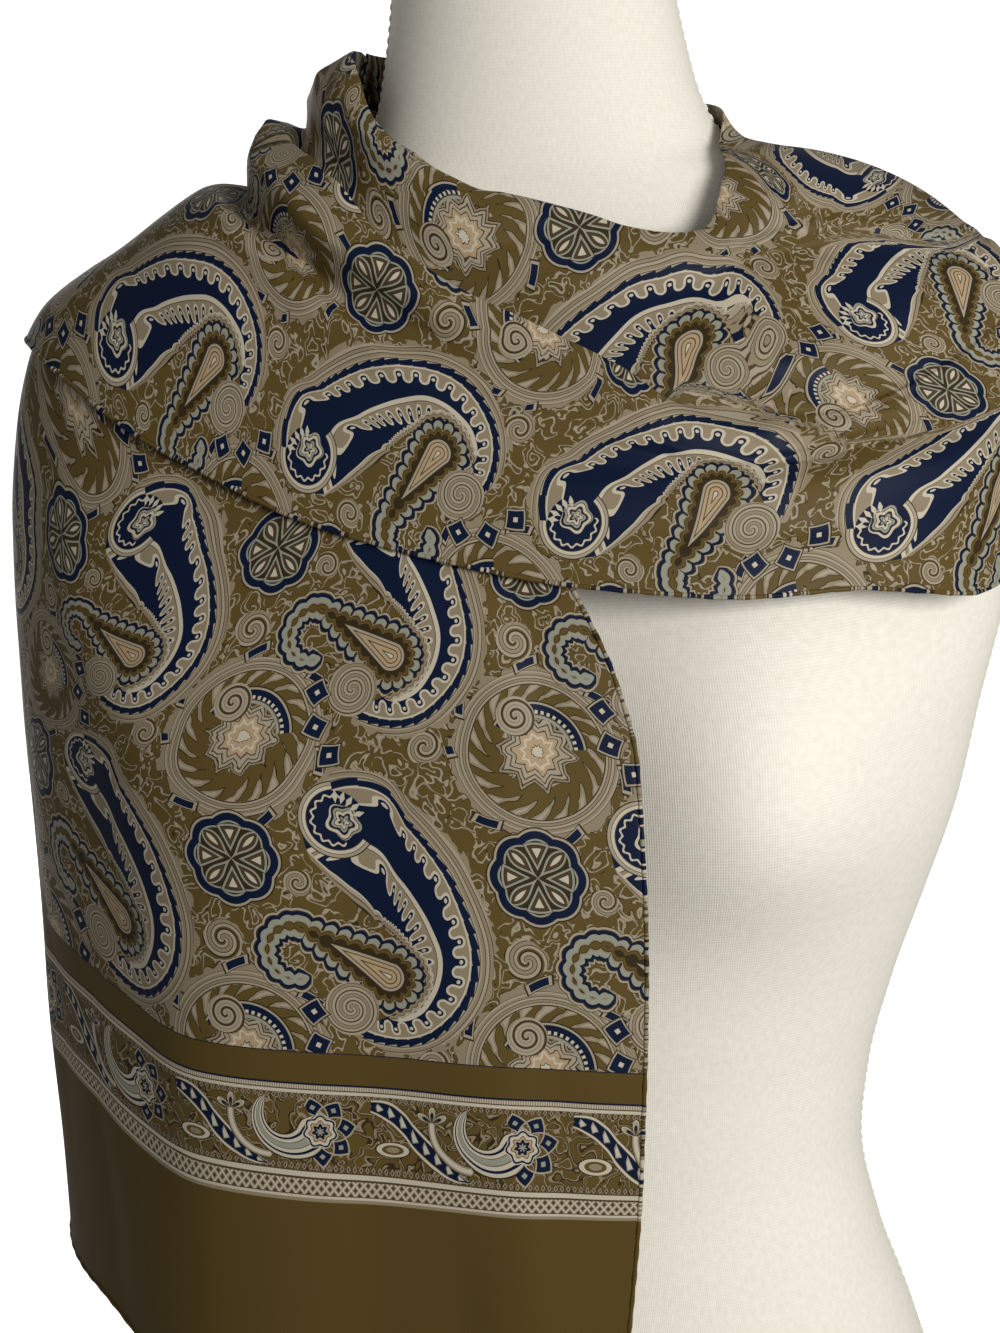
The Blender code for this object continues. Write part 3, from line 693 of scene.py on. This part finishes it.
# braid and lines by height above the hem
weave = folded(side + up, 1.6)
cross = folded(side - up, 1.6)
braid = bands(least(weave, cross), 1.6, (0, CREAM), (0.3, TAUPE), (0.85, BROWN))
ending = bands(up, 115, (50, OLIVE_PLAIN), (55.2, TAUPE), (56.2, CREAM), (57, BROWN),
    (62.2, CREAM), (63.9, BROWN), (93.6, CREAM), (94.9, BROWN), (95.4, TAUPE), (96.9, NAVY),
    (97.5, OLIVE_PLAIN), (109.3, NAVY))
ending = over(ending, braid, inside_of(57.4, up, 61.8))
ending = over(ending, band, inside_of(64.4, up, 93.6))
ticks = bands(saw(side * 1.1), 1, (0, TAUPE), (0.55, CREAM))
ending = over(ending, ticks, inside_of(95.4, up, 96.9))
dyed = over(dyed, ending, up < BORDER_TOP)
drawing.links.new(dyed.socket, out.inputs[0])


def new_finish(name):
    """A material, its shader, and the nodes and links that a surface is built from."""
    made = bpy.data.materials.new(name)
    made.use_nodes = True
    nodes = made.node_tree.nodes
    return made, nodes["Principled BSDF"], nodes, made.node_tree.links


def relief(shader, nodes, links, height, strength, distance):
    """Low relief on a surface, from a height between 0 and 1."""
    bump = nodes.new("ShaderNodeBump")
    set_inputs(bump, {"Strength": strength, "Distance": distance})
    links.new(height, bump.inputs["Height"])
    links.new(bump.outputs[0], shader.inputs["Normal"])


def silk(name):
    """Printed silk twill: the print, a fine diagonal rib and a soft sheen."""
    made, shader, nodes, links = new_finish(name)
    printed = nodes.new("ShaderNodeGroup")
    printed.node_tree = drawing
    links.new(printed.outputs[0], shader.inputs["Base Color"])
    set_inputs(shader, {"Roughness": 0.5, "Specular IOR Level": 0.12})
    place = nodes.new("ShaderNodeUVMap")
    place.uv_map = "flat_cloth"
    rib = nodes.new("ShaderNodeTexWave")
    rib.wave_type = "BANDS"
    rib.bands_direction = "DIAGONAL"
    set_inputs(rib, {"Scale": 420, "Distortion": 0.6})
    links.new(place.outputs[0], rib.inputs["Vector"])
    relief(shader, nodes, links, rib.outputs["Fac"], 0.18, 0.0002)
    return made


rows, columns = TAIL_GRID
places = np.linspace(0, TAIL_LENGTH / MM, rows)
angle, level, lift = (across(threads_at(table, places), columns)
                      for table in (TAIL_ANGLES, TAIL_LEVELS, TAIL_LIFTS))
lift = dented(lift * MM, places[:, None], np.linspace(0, 5, columns), TAIL_DENTS)
tail_points = draped(np.radians(angle), level * MM, np.maximum(lift, LEAST_LIFT))
tucked, gathered = (smooth(places, list(table), list(table.values()))[:, None]
                    for table in (TAIL_TUCKED, TAIL_GATHERED))
tail_across = SCARF_WIDTH - tucked * MM - distances(tail_points, 1) * gathered
tail_along = distances(tail_points, 0)
pulled = np.linspace(*TAIL_PULL, columns) * MM
tail_along -= pulled * np.clip(tail_along / TAIL_PULL_RUN, 0, 1)
front_tail, tail_hems = stretch("front_tail", tail_points, np.stack([tail_across, tail_along], 2),
                                "front_silk", ("inner", "start", "outer"))


# ---- neck pass: the same cloth gathered behind the neck, from the front tail's top on the
# left round to the right shoulder blade; it is narrow on the left and opens out

# threads from the neck to the hem: edge, neckline, roll, tuck, brow, fold, lip, crest, pocket,
# bolster, plain and hem. Each table gives them at some angles round the form, in degrees
LAST_THREAD = 11
WOUND_RUNS = {            # millimetres of cloth down from the neck
    262: (34, 16, 40, 28, 58, 46, 76, 64, 92, 82, 98, 110),
    220: (42, 20, 46, 34, 64, 52, 82, 70, 98, 88, 106, 124),
    200: (46, 24, 50, 40, 72, 61, 92, 81, 110, 101, 120, 140),
    180: (52, 28, 56, 46, 82, 72, 104, 95, 126, 117, 138, 162),
    150: (72, 36, 58, 62, 90, 94, 122, 119, 150, 161, 194, 224),
    120: (82, 42, 68, 104, 130, 152, 163, 175, 200, 224, 253, 284),
    90: (92, 48, 86, 164, 180, 191, 199, 208, 235, 250, 272, 298),
    78: (98, 53, 94, 157, 178, 191, 198, 206, 228, 242, 263, 287),
    63: (104, 66, 98, 126, 166, 187, 192, 198, 212, 225, 248, 275),
    51: (120, 84, 104, 118, 164, 184, 187, 191, 200, 214, 235, 259),
    42: (135, 99, 108, 118, 158, 177, 182, 187, 198, 210, 229, 250),
    24: (134, 92, 101, 112, 141, 166, 166, 174, 187, 200, 221, 244),
    15: (128, 87, 97, 110, 131, 169, 151, 164, 177, 191, 215, 240),
    -5: (120, 79, 88, 102, 119, 156, 132, 144, 161, 177, 206, 232),
    -25: (112, 72, 80, 95, 108, 142, 117, 128, 146, 160, 190, 222),
    -45: (98, 60, 67, 80, 92, 120, 97, 110, 126, 141, 174, 211),
    -60: (84, 46, 53, 66, 76, 102, 80, 98, 110, 123, 163, 202),
    -75: (60, 27, 34, 47, 58, 80, 71, 89, 103, 115, 160, 200),
    -90: (46, 16, 22, 31, 42, 54, 62, 71, 90, 110, 158, 202),
}
WOUND_LIFTS = {           # millimetres off the draping surface
    262: (0.8, 1.6, 3.2, 1.3, 3.4, 1.3, 3.4, 1.3, 3.4, 1.3, 1.9, 1.2),
    220: (0.8, 1.6, 3.2, 1.3, 3.4, 1.3, 3.4, 1.3, 3.4, 1.3, 1.9, 1.2),
    200: (0.8, 1.8, 3.4, 1.4, 3.4, 1.4, 3.4, 1.4, 3.4, 1.3, 1.9, 1.2),
    180: (0.8, 2.2, 4.5, 1.8, 4.5, 1.6, 4.5, 1.6, 4.2, 1.4, 2, 1.2),
    150: (0.9, 2.4, 5, 2.4, 5, 1.8, 5, 1.8, 4.6, 1.8, 2, 1.2),
    120: (0.9, 2.4, 5.5, 2.2, 5.5, 1.6, 2.9, 4.5, 1.2, 5.5, 1.8, 1.2),
    90: (0.9, 2.4, 4.6, 1.4, 5, 2.5, 3, 3.6, 1.1, 6, 2.5, 1.1),
    78: (0.9, 2.4, 5, 1.4, 5, 2.8, 3.2, 3.6, 1.1, 6.5, 3, 1.2),
    63: (0.9, 2.6, 5.5, 1.6, 6.5, 2.2, 2.8, 3.6, 1.1, 6.5, 3.5, 1.6),
    51: (1, 3.2, 5.5, 3.4, 9.5, 1.2, 2.5, 4, 1.2, 6.5, 4, 2.2),
    42: (1.2, 3.4, 5.8, 4.2, 10, 1.2, 2.6, 4, 1.8, 6.5, 4.5, 2.6),
    24: (1.4, 4, 6.5, 5.6, 8, 3.6, 5.4, 7, 4.4, 7, 5.2, 3.6),
    15: (1.4, 4.2, 7, 6.5, 7.5, 2.8, 8, 9.5, 6, 7, 5.5, 4.2),
    -5: (1.4, 4.6, 8, 8, 6, 3, 11, 12.5, 8, 7.5, 6, 4.6),
    -25: (1.4, 5, 9, 8, 4.6, 3, 13.5, 14, 9, 8.5, 6, 4.8),
    -45: (1.6, 5.2, 10, 7.5, 4.2, 3, 15.5, 15.5, 5.6, 10, 6, 4.8),
    -60: (2, 5.5, 12, 7.5, 4.4, 4, 17.5, 18, 3.4, 12, 6, 4.8),
    -75: (2.4, 4.8, 12, 15, 11, 6, 15, 21, 3.2, 13.5, 5.5, 5),
    -90: (2.4, 4.8, 12, 18, 18, 12, 18, 26, 4.6, 13, 4.5, 5.5),
}
WOUND_START = 262        # where the front tail ends and the neck pass starts
CROSSING_START = 150     # where the neck pass ends and the crossing starts
CROSSING_END = -100      # where the crossing ends and the back tail starts
NECK_GRID = (90, 260)
NECK_END = 0.630         # run of the scarf where the neck pass hands over to the crossing
LINE_STEP = math.radians(2)
LINE_ANGLES = np.arange(181) * LINE_STEP - math.pi
LINE_LEVELS = np.linspace(DRAPE_ROWS[-1, 0], DRAPE_ROWS[0, 0], 500)
LINE_RUNS = distances(round_points(
    DRAPE_ROWS, LINE_ANGLES[:, None], LINE_LEVELS + 0 * LINE_ANGLES[:, None]), 1)


def level_at(angle, run):
    """Level of the draping surface at an angle (radians) and a run of cloth down from the neck."""
    place = (angle + math.pi) % (2 * math.pi) / LINE_STEP
    line = np.clip(place.astype(int), 0, len(LINE_ANGLES) - 2)
    out = np.zeros(run.shape)
    for spot in np.ndindex(run.shape):
        one = np.interp(run[spot], LINE_RUNS[line[spot]], LINE_LEVELS)
        two = np.interp(run[spot], LINE_RUNS[line[spot] + 1], LINE_LEVELS)
        out[spot] = one + (two - one) * (place[spot] - line[spot])
    return out


WOUND_DENTS = (           # angle, thread, half length, lean, half width, depth
    (-66, 8, 13, 0, 0.3, -2.6), (-60, 9.3, 15, 0.012, 0.24, -1.8), (-47, 8.7, 16, 0.02, 0.22, 1.6),
    (-38, 7.6, 14, 0.01, 0.22, -1.8), (-28, 9.55, 17, 0.014, 0.24, -1.4),
    (-18, 8.3, 13, 0.022, 0.2, 1.4), (-12, 10.1, 15, 0.004, 0.22, 1.2),
    (-8, 2.6, 12, -0.03, 0.3, -1.6), (2, 9.2, 16, -0.012, 0.2, -1.6),
    (10, 3.1, 11, -0.04, 0.26, 1.4), (17, 8.55, 12, -0.028, 0.18, 1.5),
    (26, 9.95, 18, -0.006, 0.22, -1.4), (33, 3.3, 12, -0.02, 0.24, -1.6),
    (39, 6.6, 2.2, 0, 1.1, 1.5), (42.5, 6.7, 1.6, 0, 0.9, -1.2),
    (56, 7.85, 26, -0.002, 0.18, -3.2), (66, 3.17, 18, 0.0125, 0.12, -2.8),
    (66, 2.87, 18, 0.0125, 0.14, 2.6), (64, 9.6, 15, 0.008, 0.26, -1.4),
    (72, 5.9, 18, 0.01, 0.3, 1.6), (88, 8.9, 19, -0.01, 0.26, -1.8),
    (97, 4.1, 15, 0.014, 0.3, -1.6), (112, 7.2, 20, 0.008, 0.24, 1.8),
    (128, 9.7, 18, -0.006, 0.3, -1.6), (150, 5.6, 24, 0.006, 0.3, 1.4),
    (172, 8.5, 20, 0.01, 0.26, -1.4), (200, 10.2, 22, 0, 0.26, 1.2),
)


def wound_threads(places, columns):
    """How far down from the neck the cloth lies, and how far it lifts, at some angles (degrees)."""
    return (across(threads_at(table, places), columns) * MM for table in (WOUND_RUNS, WOUND_LIFTS))


def wound_points(start, end, rows, columns):
    """A wound stretch from one angle to another, in degrees."""
    places = np.linspace(start, end, rows)
    run, lift = wound_threads(places, columns)
    lift = dented(lift, places[:, None], np.linspace(0, LAST_THREAD, columns), WOUND_DENTS)
    angle = np.radians(places)[:, None] + 0 * run
    return draped(angle, level_at(angle, run), np.maximum(lift, LEAST_LIFT))


neck_points = wound_points(WOUND_START, CROSSING_START, *NECK_GRID)
neck_along = NECK_END - distances(neck_points[::-1], 0)[::-1]
neck_flat = np.stack([SCARF_WIDTH - distances(neck_points, 1), neck_along], 2)
neck_pass, neck_hems = stretch("neck_pass", neck_points, neck_flat, "neck_silk", ("outer",))


# ---- crossing: the widest stretch, from the right shoulder blade over the right shoulder,
# across the chest and up over the left shoulder, gathered into folds that run along it
CROSS_GRID = (190, 250)
CROSS_FRONT = 0.880      # run of the scarf that lies on the middle of the chest
CROSS_PRINT = {          # angle: hidden thread between the two bands, how far across the upper
    -100: (5, 24, 34, 65, 78),        # band is turned, and how far along the brow, the crest
    -73: (5, 24, 34, 65, 76),         # and the hem have slipped
    -46: (5, 24, 34, 65, 52),
    -27: (5, 24, 34, 65, 44),
    0: (5, 14, 34, 62, 37),
    9: (5, 10, 34, 58, 35),
    18: (5, 3, 34, 50, 34),
    28: (4.6, -4, 34, 45, 33),
    38: (4.8, -13, 34, 52, 33),
    50: (7.8, 4, 38, 64, 34),
    58: (8, 14, 40, 67, 36),
    80: (8, 8, 42, 66, 44),
    150: (8, 0, 46, 60, 56),
}
SHOULDER_PRINT = (        # the upper band is pulled round on the left shoulder, and turned again
    # above a pleat: a spot, the print across and along there, and how it runs on from the spot
    ((0.1169, -0.0698, 0.5813), (0.1883, 0.798), (-0.09, 0.08, 1.33), (-1.245, 0.15, -0.76)),
    ((0.1325, -0.0218, 0.6351), (0.1883, 0.798), (-1.28, 0.2, -0.23), (0.65, -0.09, -1.97)),
)
SHOULDER_PULL = (38, 47, 82, 150)      # angles where the pull starts, is full, fades and ends
PLEAT_START = 57
PLEAT_OPENS = 6          # degrees over which it opens
PLEAT_PLACE = (66, 3.05, 0.0125)       # angle, thread and lean
LOWER_HEM = 0.051        # print across that meets the lower band's hem
BAND_EDGE = 0.15         # share of a thread over which one band's print gives way to the other's
SLIP_START = 7           # thread from which the lower band's slip passes from crest to hem
SLIP_THREADS = 3.5       # and over how many threads


def eased(share):
    """A share from 0 to 1 that starts and ends gently."""
    return share * share * (3 - 2 * share)


rows, columns = CROSS_GRID
cross_points = wound_points(CROSSING_START, CROSSING_END, rows, columns)
thread = np.linspace(0, LAST_THREAD, columns)
places = np.linspace(CROSSING_START, CROSSING_END, rows)
parting, turned, brow_slip, crest_slip, hem_slip = threads_at(CROSS_PRINT, places).T[..., None]
from_edge = distances(cross_points, 1)
run_along = distances(cross_points, 0)
upper = SCARF_WIDTH - from_edge + turned * MM
lower = LOWER_HEM + from_edge[:, -1:] - from_edge
share = np.clip((thread - parting) / BAND_EDGE + 0.5, 0, 1)
down = np.clip((thread - SLIP_START) / SLIP_THREADS, 0, 1)
slip = brow_slip * (1 - share) + (crest_slip * (1 - down) + hem_slip * down) * share
front_row = int(rows * CROSSING_START / (CROSSING_START - CROSSING_END))
cross_along = run_along + slip * MM + (CROSS_FRONT - run_along[front_row])
cross_flat = np.stack([upper * (1 - share) + lower * share, cross_along], 2)
turning = places[:, None]
pulled = eased(np.interp(turning, SHOULDER_PULL, (0, 1, 1, 0))) * (1 - share)
pleat = PLEAT_PLACE[1] + PLEAT_PLACE[2] * (turning - PLEAT_PLACE[0])
above = np.clip((pleat - thread) / BAND_EDGE + 0.5, 0, 1)
above = above * np.clip((turning - PLEAT_START) / PLEAT_OPENS, 0, 1)
for part, (spot, there, aside, onward) in zip((pulled, pulled * above), SHOULDER_PRINT):
    away = cross_points - spot
    near = np.stack([there[0] + away @ aside, there[1] + away @ onward], 2)
    cross_flat += (near - cross_flat) * part[..., None]
cross_wrap, cross_hems = stretch("cross_wrap", cross_points, cross_flat, "cross_silk", ("outer",))


# ---- back tail: the scarf's other end, from the crossing over the left shoulder and down
# the back, hanging free in long soft folds
HANG_ANGLES = (-150, -162, -157, -151, -146, -140, -137, -134, -128, -122, -116, -110)
HANG_LIFTS = (3.2, 5.4, 10, 5, 9, 5, 7, 11, 5, 9, 5, 5)
TURN_DROP = 0.020        # extra run that a thread takes while it turns
TURN_RUN = 0.300         # run at which every thread hangs straight
TURN_SHARE = 0.55        # share of the rows that the turn takes
BACK_HEM_LEVEL = 0.285
BACK_GRID = (130, 170)
rows, columns = BACK_GRID
first_run, first_lift = wound_threads([CROSSING_END], columns)
hang_angle = across(HANG_ANGLES, columns)
hang_lift = across(HANG_LIFTS, columns) * MM
turning = int(rows * TURN_SHARE)
turn = np.linspace(0, 1, turning)[:, None]
still = (1 - turn) ** 2
angle = still * CROSSING_END + (1 - still) * hang_angle
run = still * first_run + 2 * turn * (1 - turn) * (first_run + TURN_DROP) + turn ** 2 * TURN_RUN
top = level_at(np.radians(angle), run)
down = np.linspace(0, 1, rows - turning + 1)[1:, None]
low = top[-1] + (BACK_HEM_LEVEL - top[-1]) * down
settled = eased(np.clip(np.linspace(0, 1 / TURN_SHARE, rows), 0, 1)[:, None])
back_points = draped(
    np.radians(np.concatenate([angle, hang_angle + 0 * low])),
    np.concatenate([top, low]),
    first_lift + (hang_lift - first_lift) * settled,
)
back_across = SCARF_WIDTH - distances(back_points, 1)
back_along = distances(back_points, 0)
back_along *= (SCARF_LENGTH - cross_along[-1].mean()) / back_along[-1].mean()
back_along += SCARF_LENGTH - back_along[-1]
back_flat = np.stack([back_across, back_along], 2)
back_tail, back_hems = stretch("back_tail", back_points, back_flat, "back_silk",
                               ("inner", "end", "outer"))


# ---- dress form: limbless, papier-mache under cream woven linen that is sewn up both sides,
# with a flat cap on the neck; it stands on its own base and everything else rests on it

# its rings: level, reach to the sides, front and back, and middle, in millimetres, and squareness
FORM_ROWS = np.array((
    (0, 148, 96, 112, 4, 2.2), (35, 154, 102, 120, 4, 2.2), (75, 150, 104, 120, 3, 2.2),
    (120, 140.5, 101, 111, 2, 2.2), (160, 130, 95, 98, 1, 2.2), (200, 117.5, 87, 86, 0, 2.2),
    (235, 111.5, 83, 79, 0, 2.2), (270, 116, 85, 79, 0, 2.2), (305, 126.5, 90, 84, 0, 2.2),
    (345, 142, 96, 90, 0, 2.25), (385, 157, 101, 95, 0, 2.3), (423, 167, 101, 98, 0, 2.35),
    (466, 179.5, 95, 99, 1, 2.4), (510, 187, 84, 98, 3, 2.4), (545, 191, 74, 92, 5, 2.4),
    (572, 190.5, 66, 85.5, 6, 2.38), (590, 186, 61, 79, 7, 2.35), (603, 178.5, 57.5, 74.5, 7, 2.3),
    (615, 166.5, 55, 69.5, 7, 2.25), (627, 150.5, 53, 65.5, 6, 2.2),
    (637, 129.5, 51.5, 62, 6, 2.12), (642, 112, 51, 60.5, 5, 2.06), (646, 92.5, 50.5, 59, 4, 2),
    (651, 78, 50, 56.5, 3, 2), (660, 70.5, 49.5, 54, 2, 2), (675, 64, 49, 51.5, 1, 2),
    (690, 60.5, 48.5, 50, 0, 2), (712, 56.5, 47, 48, -3, 2), (742, 53, 45, 45, -6, 2),
    (748, 49, 41, 41, -6, 2),
))[:, (0, 1, 1, 2, 3, 4, 5)] * ROW_UNITS
BUST_OFFSET = 0.080      # sideways from the middle
BUST_LEVEL = 0.407
BUST_RISE = 0.051
BUST_WIDTH = 0.063
BUST_BELOW = 0.058
BUST_ABOVE = 0.092
FORM_RINGS = 200
FORM_SEGMENTS = 220
LINEN_WIDE = 0.9         # the cover's flat width and height, in metres
LINEN_TALL = 0.75


def form_points(angle, level):
    """The form's skin at an angle (radians) and a level: a rounded shape, with a bust in front."""
    points = round_points(FORM_ROWS, angle, level)
    sideways = (np.abs(points[..., 0]) - BUST_OFFSET) / BUST_WIDTH
    upward = (level - BUST_LEVEL) / np.where(level < BUST_LEVEL, BUST_BELOW, BUST_ABOVE)
    bulge = BUST_RISE * np.exp(-sideways ** 2 - upward ** 2) * np.clip(np.cos(angle), 0, 1)
    points[..., 1] -= bulge
    return points


linen, shader, nodes, links = new_finish("form_linen")
set_inputs(shader, {"Roughness": 0.85, "Sheen Weight": 0.2, "Specular IOR Level": 0.25})
where = nodes.new("ShaderNodeUVMap")
where.uv_map = "linen"
yarns = []
for direction in ("X", "Y"):
    yarn = nodes.new("ShaderNodeTexWave")
    yarn.bands_direction = direction
    set_inputs(yarn, {"Scale": 260, "Distortion": 1.2, "Detail": 1})
    links.new(where.outputs[0], yarn.inputs["Vector"])
    yarns.append(yarn)
slubs = nodes.new("ShaderNodeTexNoise")
set_inputs(slubs, {"Scale": 300, "Detail": 4})
links.new(where.outputs[0], slubs.inputs["Vector"])
tint = nodes.new("ShaderNodeValToRGB")
for stop, place, colour in zip(tint.color_ramp.elements, (0.3, 0.7),
                               ((0.79, 0.76, 0.67, 1), (0.86, 0.835, 0.75, 1))):
    stop.position = place
    stop.color = colour
links.new(slubs.outputs["Fac"], tint.inputs[0])
links.new(tint.outputs[0], shader.inputs["Base Color"])
weave = nodes.new("ShaderNodeMath")
weave.operation = "MULTIPLY"
for yarn, socket in zip(yarns, weave.inputs):
    links.new(yarn.outputs["Fac"], socket)
relief(shader, nodes, links, weave.outputs[0], 0.3, 0.0004)

level = np.linspace(FORM_ROWS[0, 0], FORM_ROWS[-1, 0], FORM_RINGS)[:, None]
turn = np.linspace(-math.pi, math.pi, FORM_SEGMENTS + 1)[:-1][None, :]
sides = grid_faces(FORM_RINGS, FORM_SEGMENTS, closed=True)
ring = np.arange(FORM_SEGMENTS)
caps = (ring[::-1], ring + (FORM_RINGS - 1) * FORM_SEGMENTS)
corners = np.concatenate([sides.ravel(), *caps])
segment = corners % FORM_SEGMENTS
last_faces = segment[:sides.size].reshape(-1, 4)[FORM_SEGMENTS - 1::FORM_SEGMENTS]
last_faces[:, 1:3] = FORM_SEGMENTS
on_linen = np.stack([segment / FORM_SEGMENTS * LINEN_WIDE,
                     corners // FORM_SEGMENTS / FORM_RINGS * LINEN_TALL], 1)
form = piece("dress_form_linen", form_points(turn + 0 * level, level + 0 * turn),
             sides.tolist() + [cap.tolist() for cap in caps], linen, "linen", on_linen)
for end in form.data.polygons[-2:]:
    end.use_smooth = False
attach(form, "root")
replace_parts(form, "dress_form")

# its side seams: a row of cream top stitches up each side, from the base to the neck
SIDE_SEAM = math.radians(84)
SEAM_ENDS = (0.006, 0.744)
STITCH_PITCH = 0.0042
STITCH_LONG = 0.0028
STITCH_THICK = 0.0005
STITCH_PROUD = 0.4       # share of its thickness by which a stitch stands off the linen
STITCH_SIDES = 6
STITCH_RINGS = ((0, 0.2), (0.25, 1), (0.75, 1), (1, 0.2))      # place along it, and thickness
rings = grid_faces(len(STITCH_RINGS), STITCH_SIDES, closed=True)
spots = []
faces = []
for side in (-SIDE_SEAM, SIDE_SEAM):
    for level in np.arange(*SEAM_ENDS, STITCH_PITCH):
        ends = form_points(np.array([side, side]), np.array([level, level + STITCH_LONG]))
        run = (ends[1] - ends[0]) / np.linalg.norm(ends[1] - ends[0])
        outward = np.array([math.sin(side), -math.cos(side), 0])
        outward -= run * outward.dot(run)
        outward /= np.linalg.norm(outward)
        sideways = np.cross(run, outward)
        faces.extend((rings + len(spots)).tolist())
        for place, wide in STITCH_RINGS:
            middle = ends[0] + (ends[1] - ends[0]) * place + outward * STITCH_THICK * STITCH_PROUD
            for turn in np.arange(STITCH_SIDES) * 2 * math.pi / STITCH_SIDES:
                reach = sideways * math.cos(turn) + outward * math.sin(turn)
                spots.append(middle + reach * wide * STITCH_THICK)
stitches = piece("form_side_stitches", spots, faces, linen, "linen")
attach(stitches, "root")


# ---- floor and light: a white floor inside a big white paper surround that lights nothing itself,
# a soft key lamp to the right of the camera, a weak fill behind and an even dim sky
STUDIO = 6.0             # half the floor's side, and the surround's height
corners = [(x, y, z) for z in (0, STUDIO) for x, y in
           ((-STUDIO, -STUDIO), (STUDIO, -STUDIO), (STUDIO, STUDIO), (-STUDIO, STUDIO))]
lit_paper, shader = new_finish("lit_paper")[:2]
lit_paper.cycles.emission_sampling = "NONE"
set_inputs(shader, {"Base Color": (0.8, 0.8, 0.8, 1), "Emission Color": (1, 1, 1, 1),
                    "Emission Strength": 1})
for name, faces in (
        ("floor", [(0, 1, 2, 3)]),
        ("surround", [(4, 7, 6, 5), (0, 4, 5, 1), (1, 5, 6, 2), (2, 6, 7, 3), (3, 7, 4, 0)])):
    paper = piece(name, corners, faces, lit_paper)
    paper.visible_diffuse = False
    paper.visible_glossy = False
    paper.visible_shadow = False
bpy.context.scene.view_settings.view_transform = "Standard"
world = bpy.data.worlds.new("studio")
bpy.context.scene.world = world
world.use_nodes = True
set_inputs(world.node_tree.nodes["Background"], {"Color": (1, 0.99, 0.97, 1), "Strength": 0.26})
for name, size, energy, colour, spot, aim in (
        ("key", 0.7, 21, (1, 0.98, 0.95), (0.88, -1.28, 0.74), (0, 0, 0.45)),
        ("fill", 1.4, 12, (0.97, 0.98, 1), (-0.5, 2.0, 0.5), (0, 0, 0.4))):
    light = bpy.data.lights.new(name, "AREA")
    light.size = size
    light.energy = energy
    light.color = colour
    lamp = bpy.data.objects.new(name, light)
    lamp.location = spot
    lamp.rotation_euler = (Vector(aim) - lamp.location).to_track_quat("-Z", "Y").to_euler()
    bpy.context.scene.collection.objects.link(lamp)
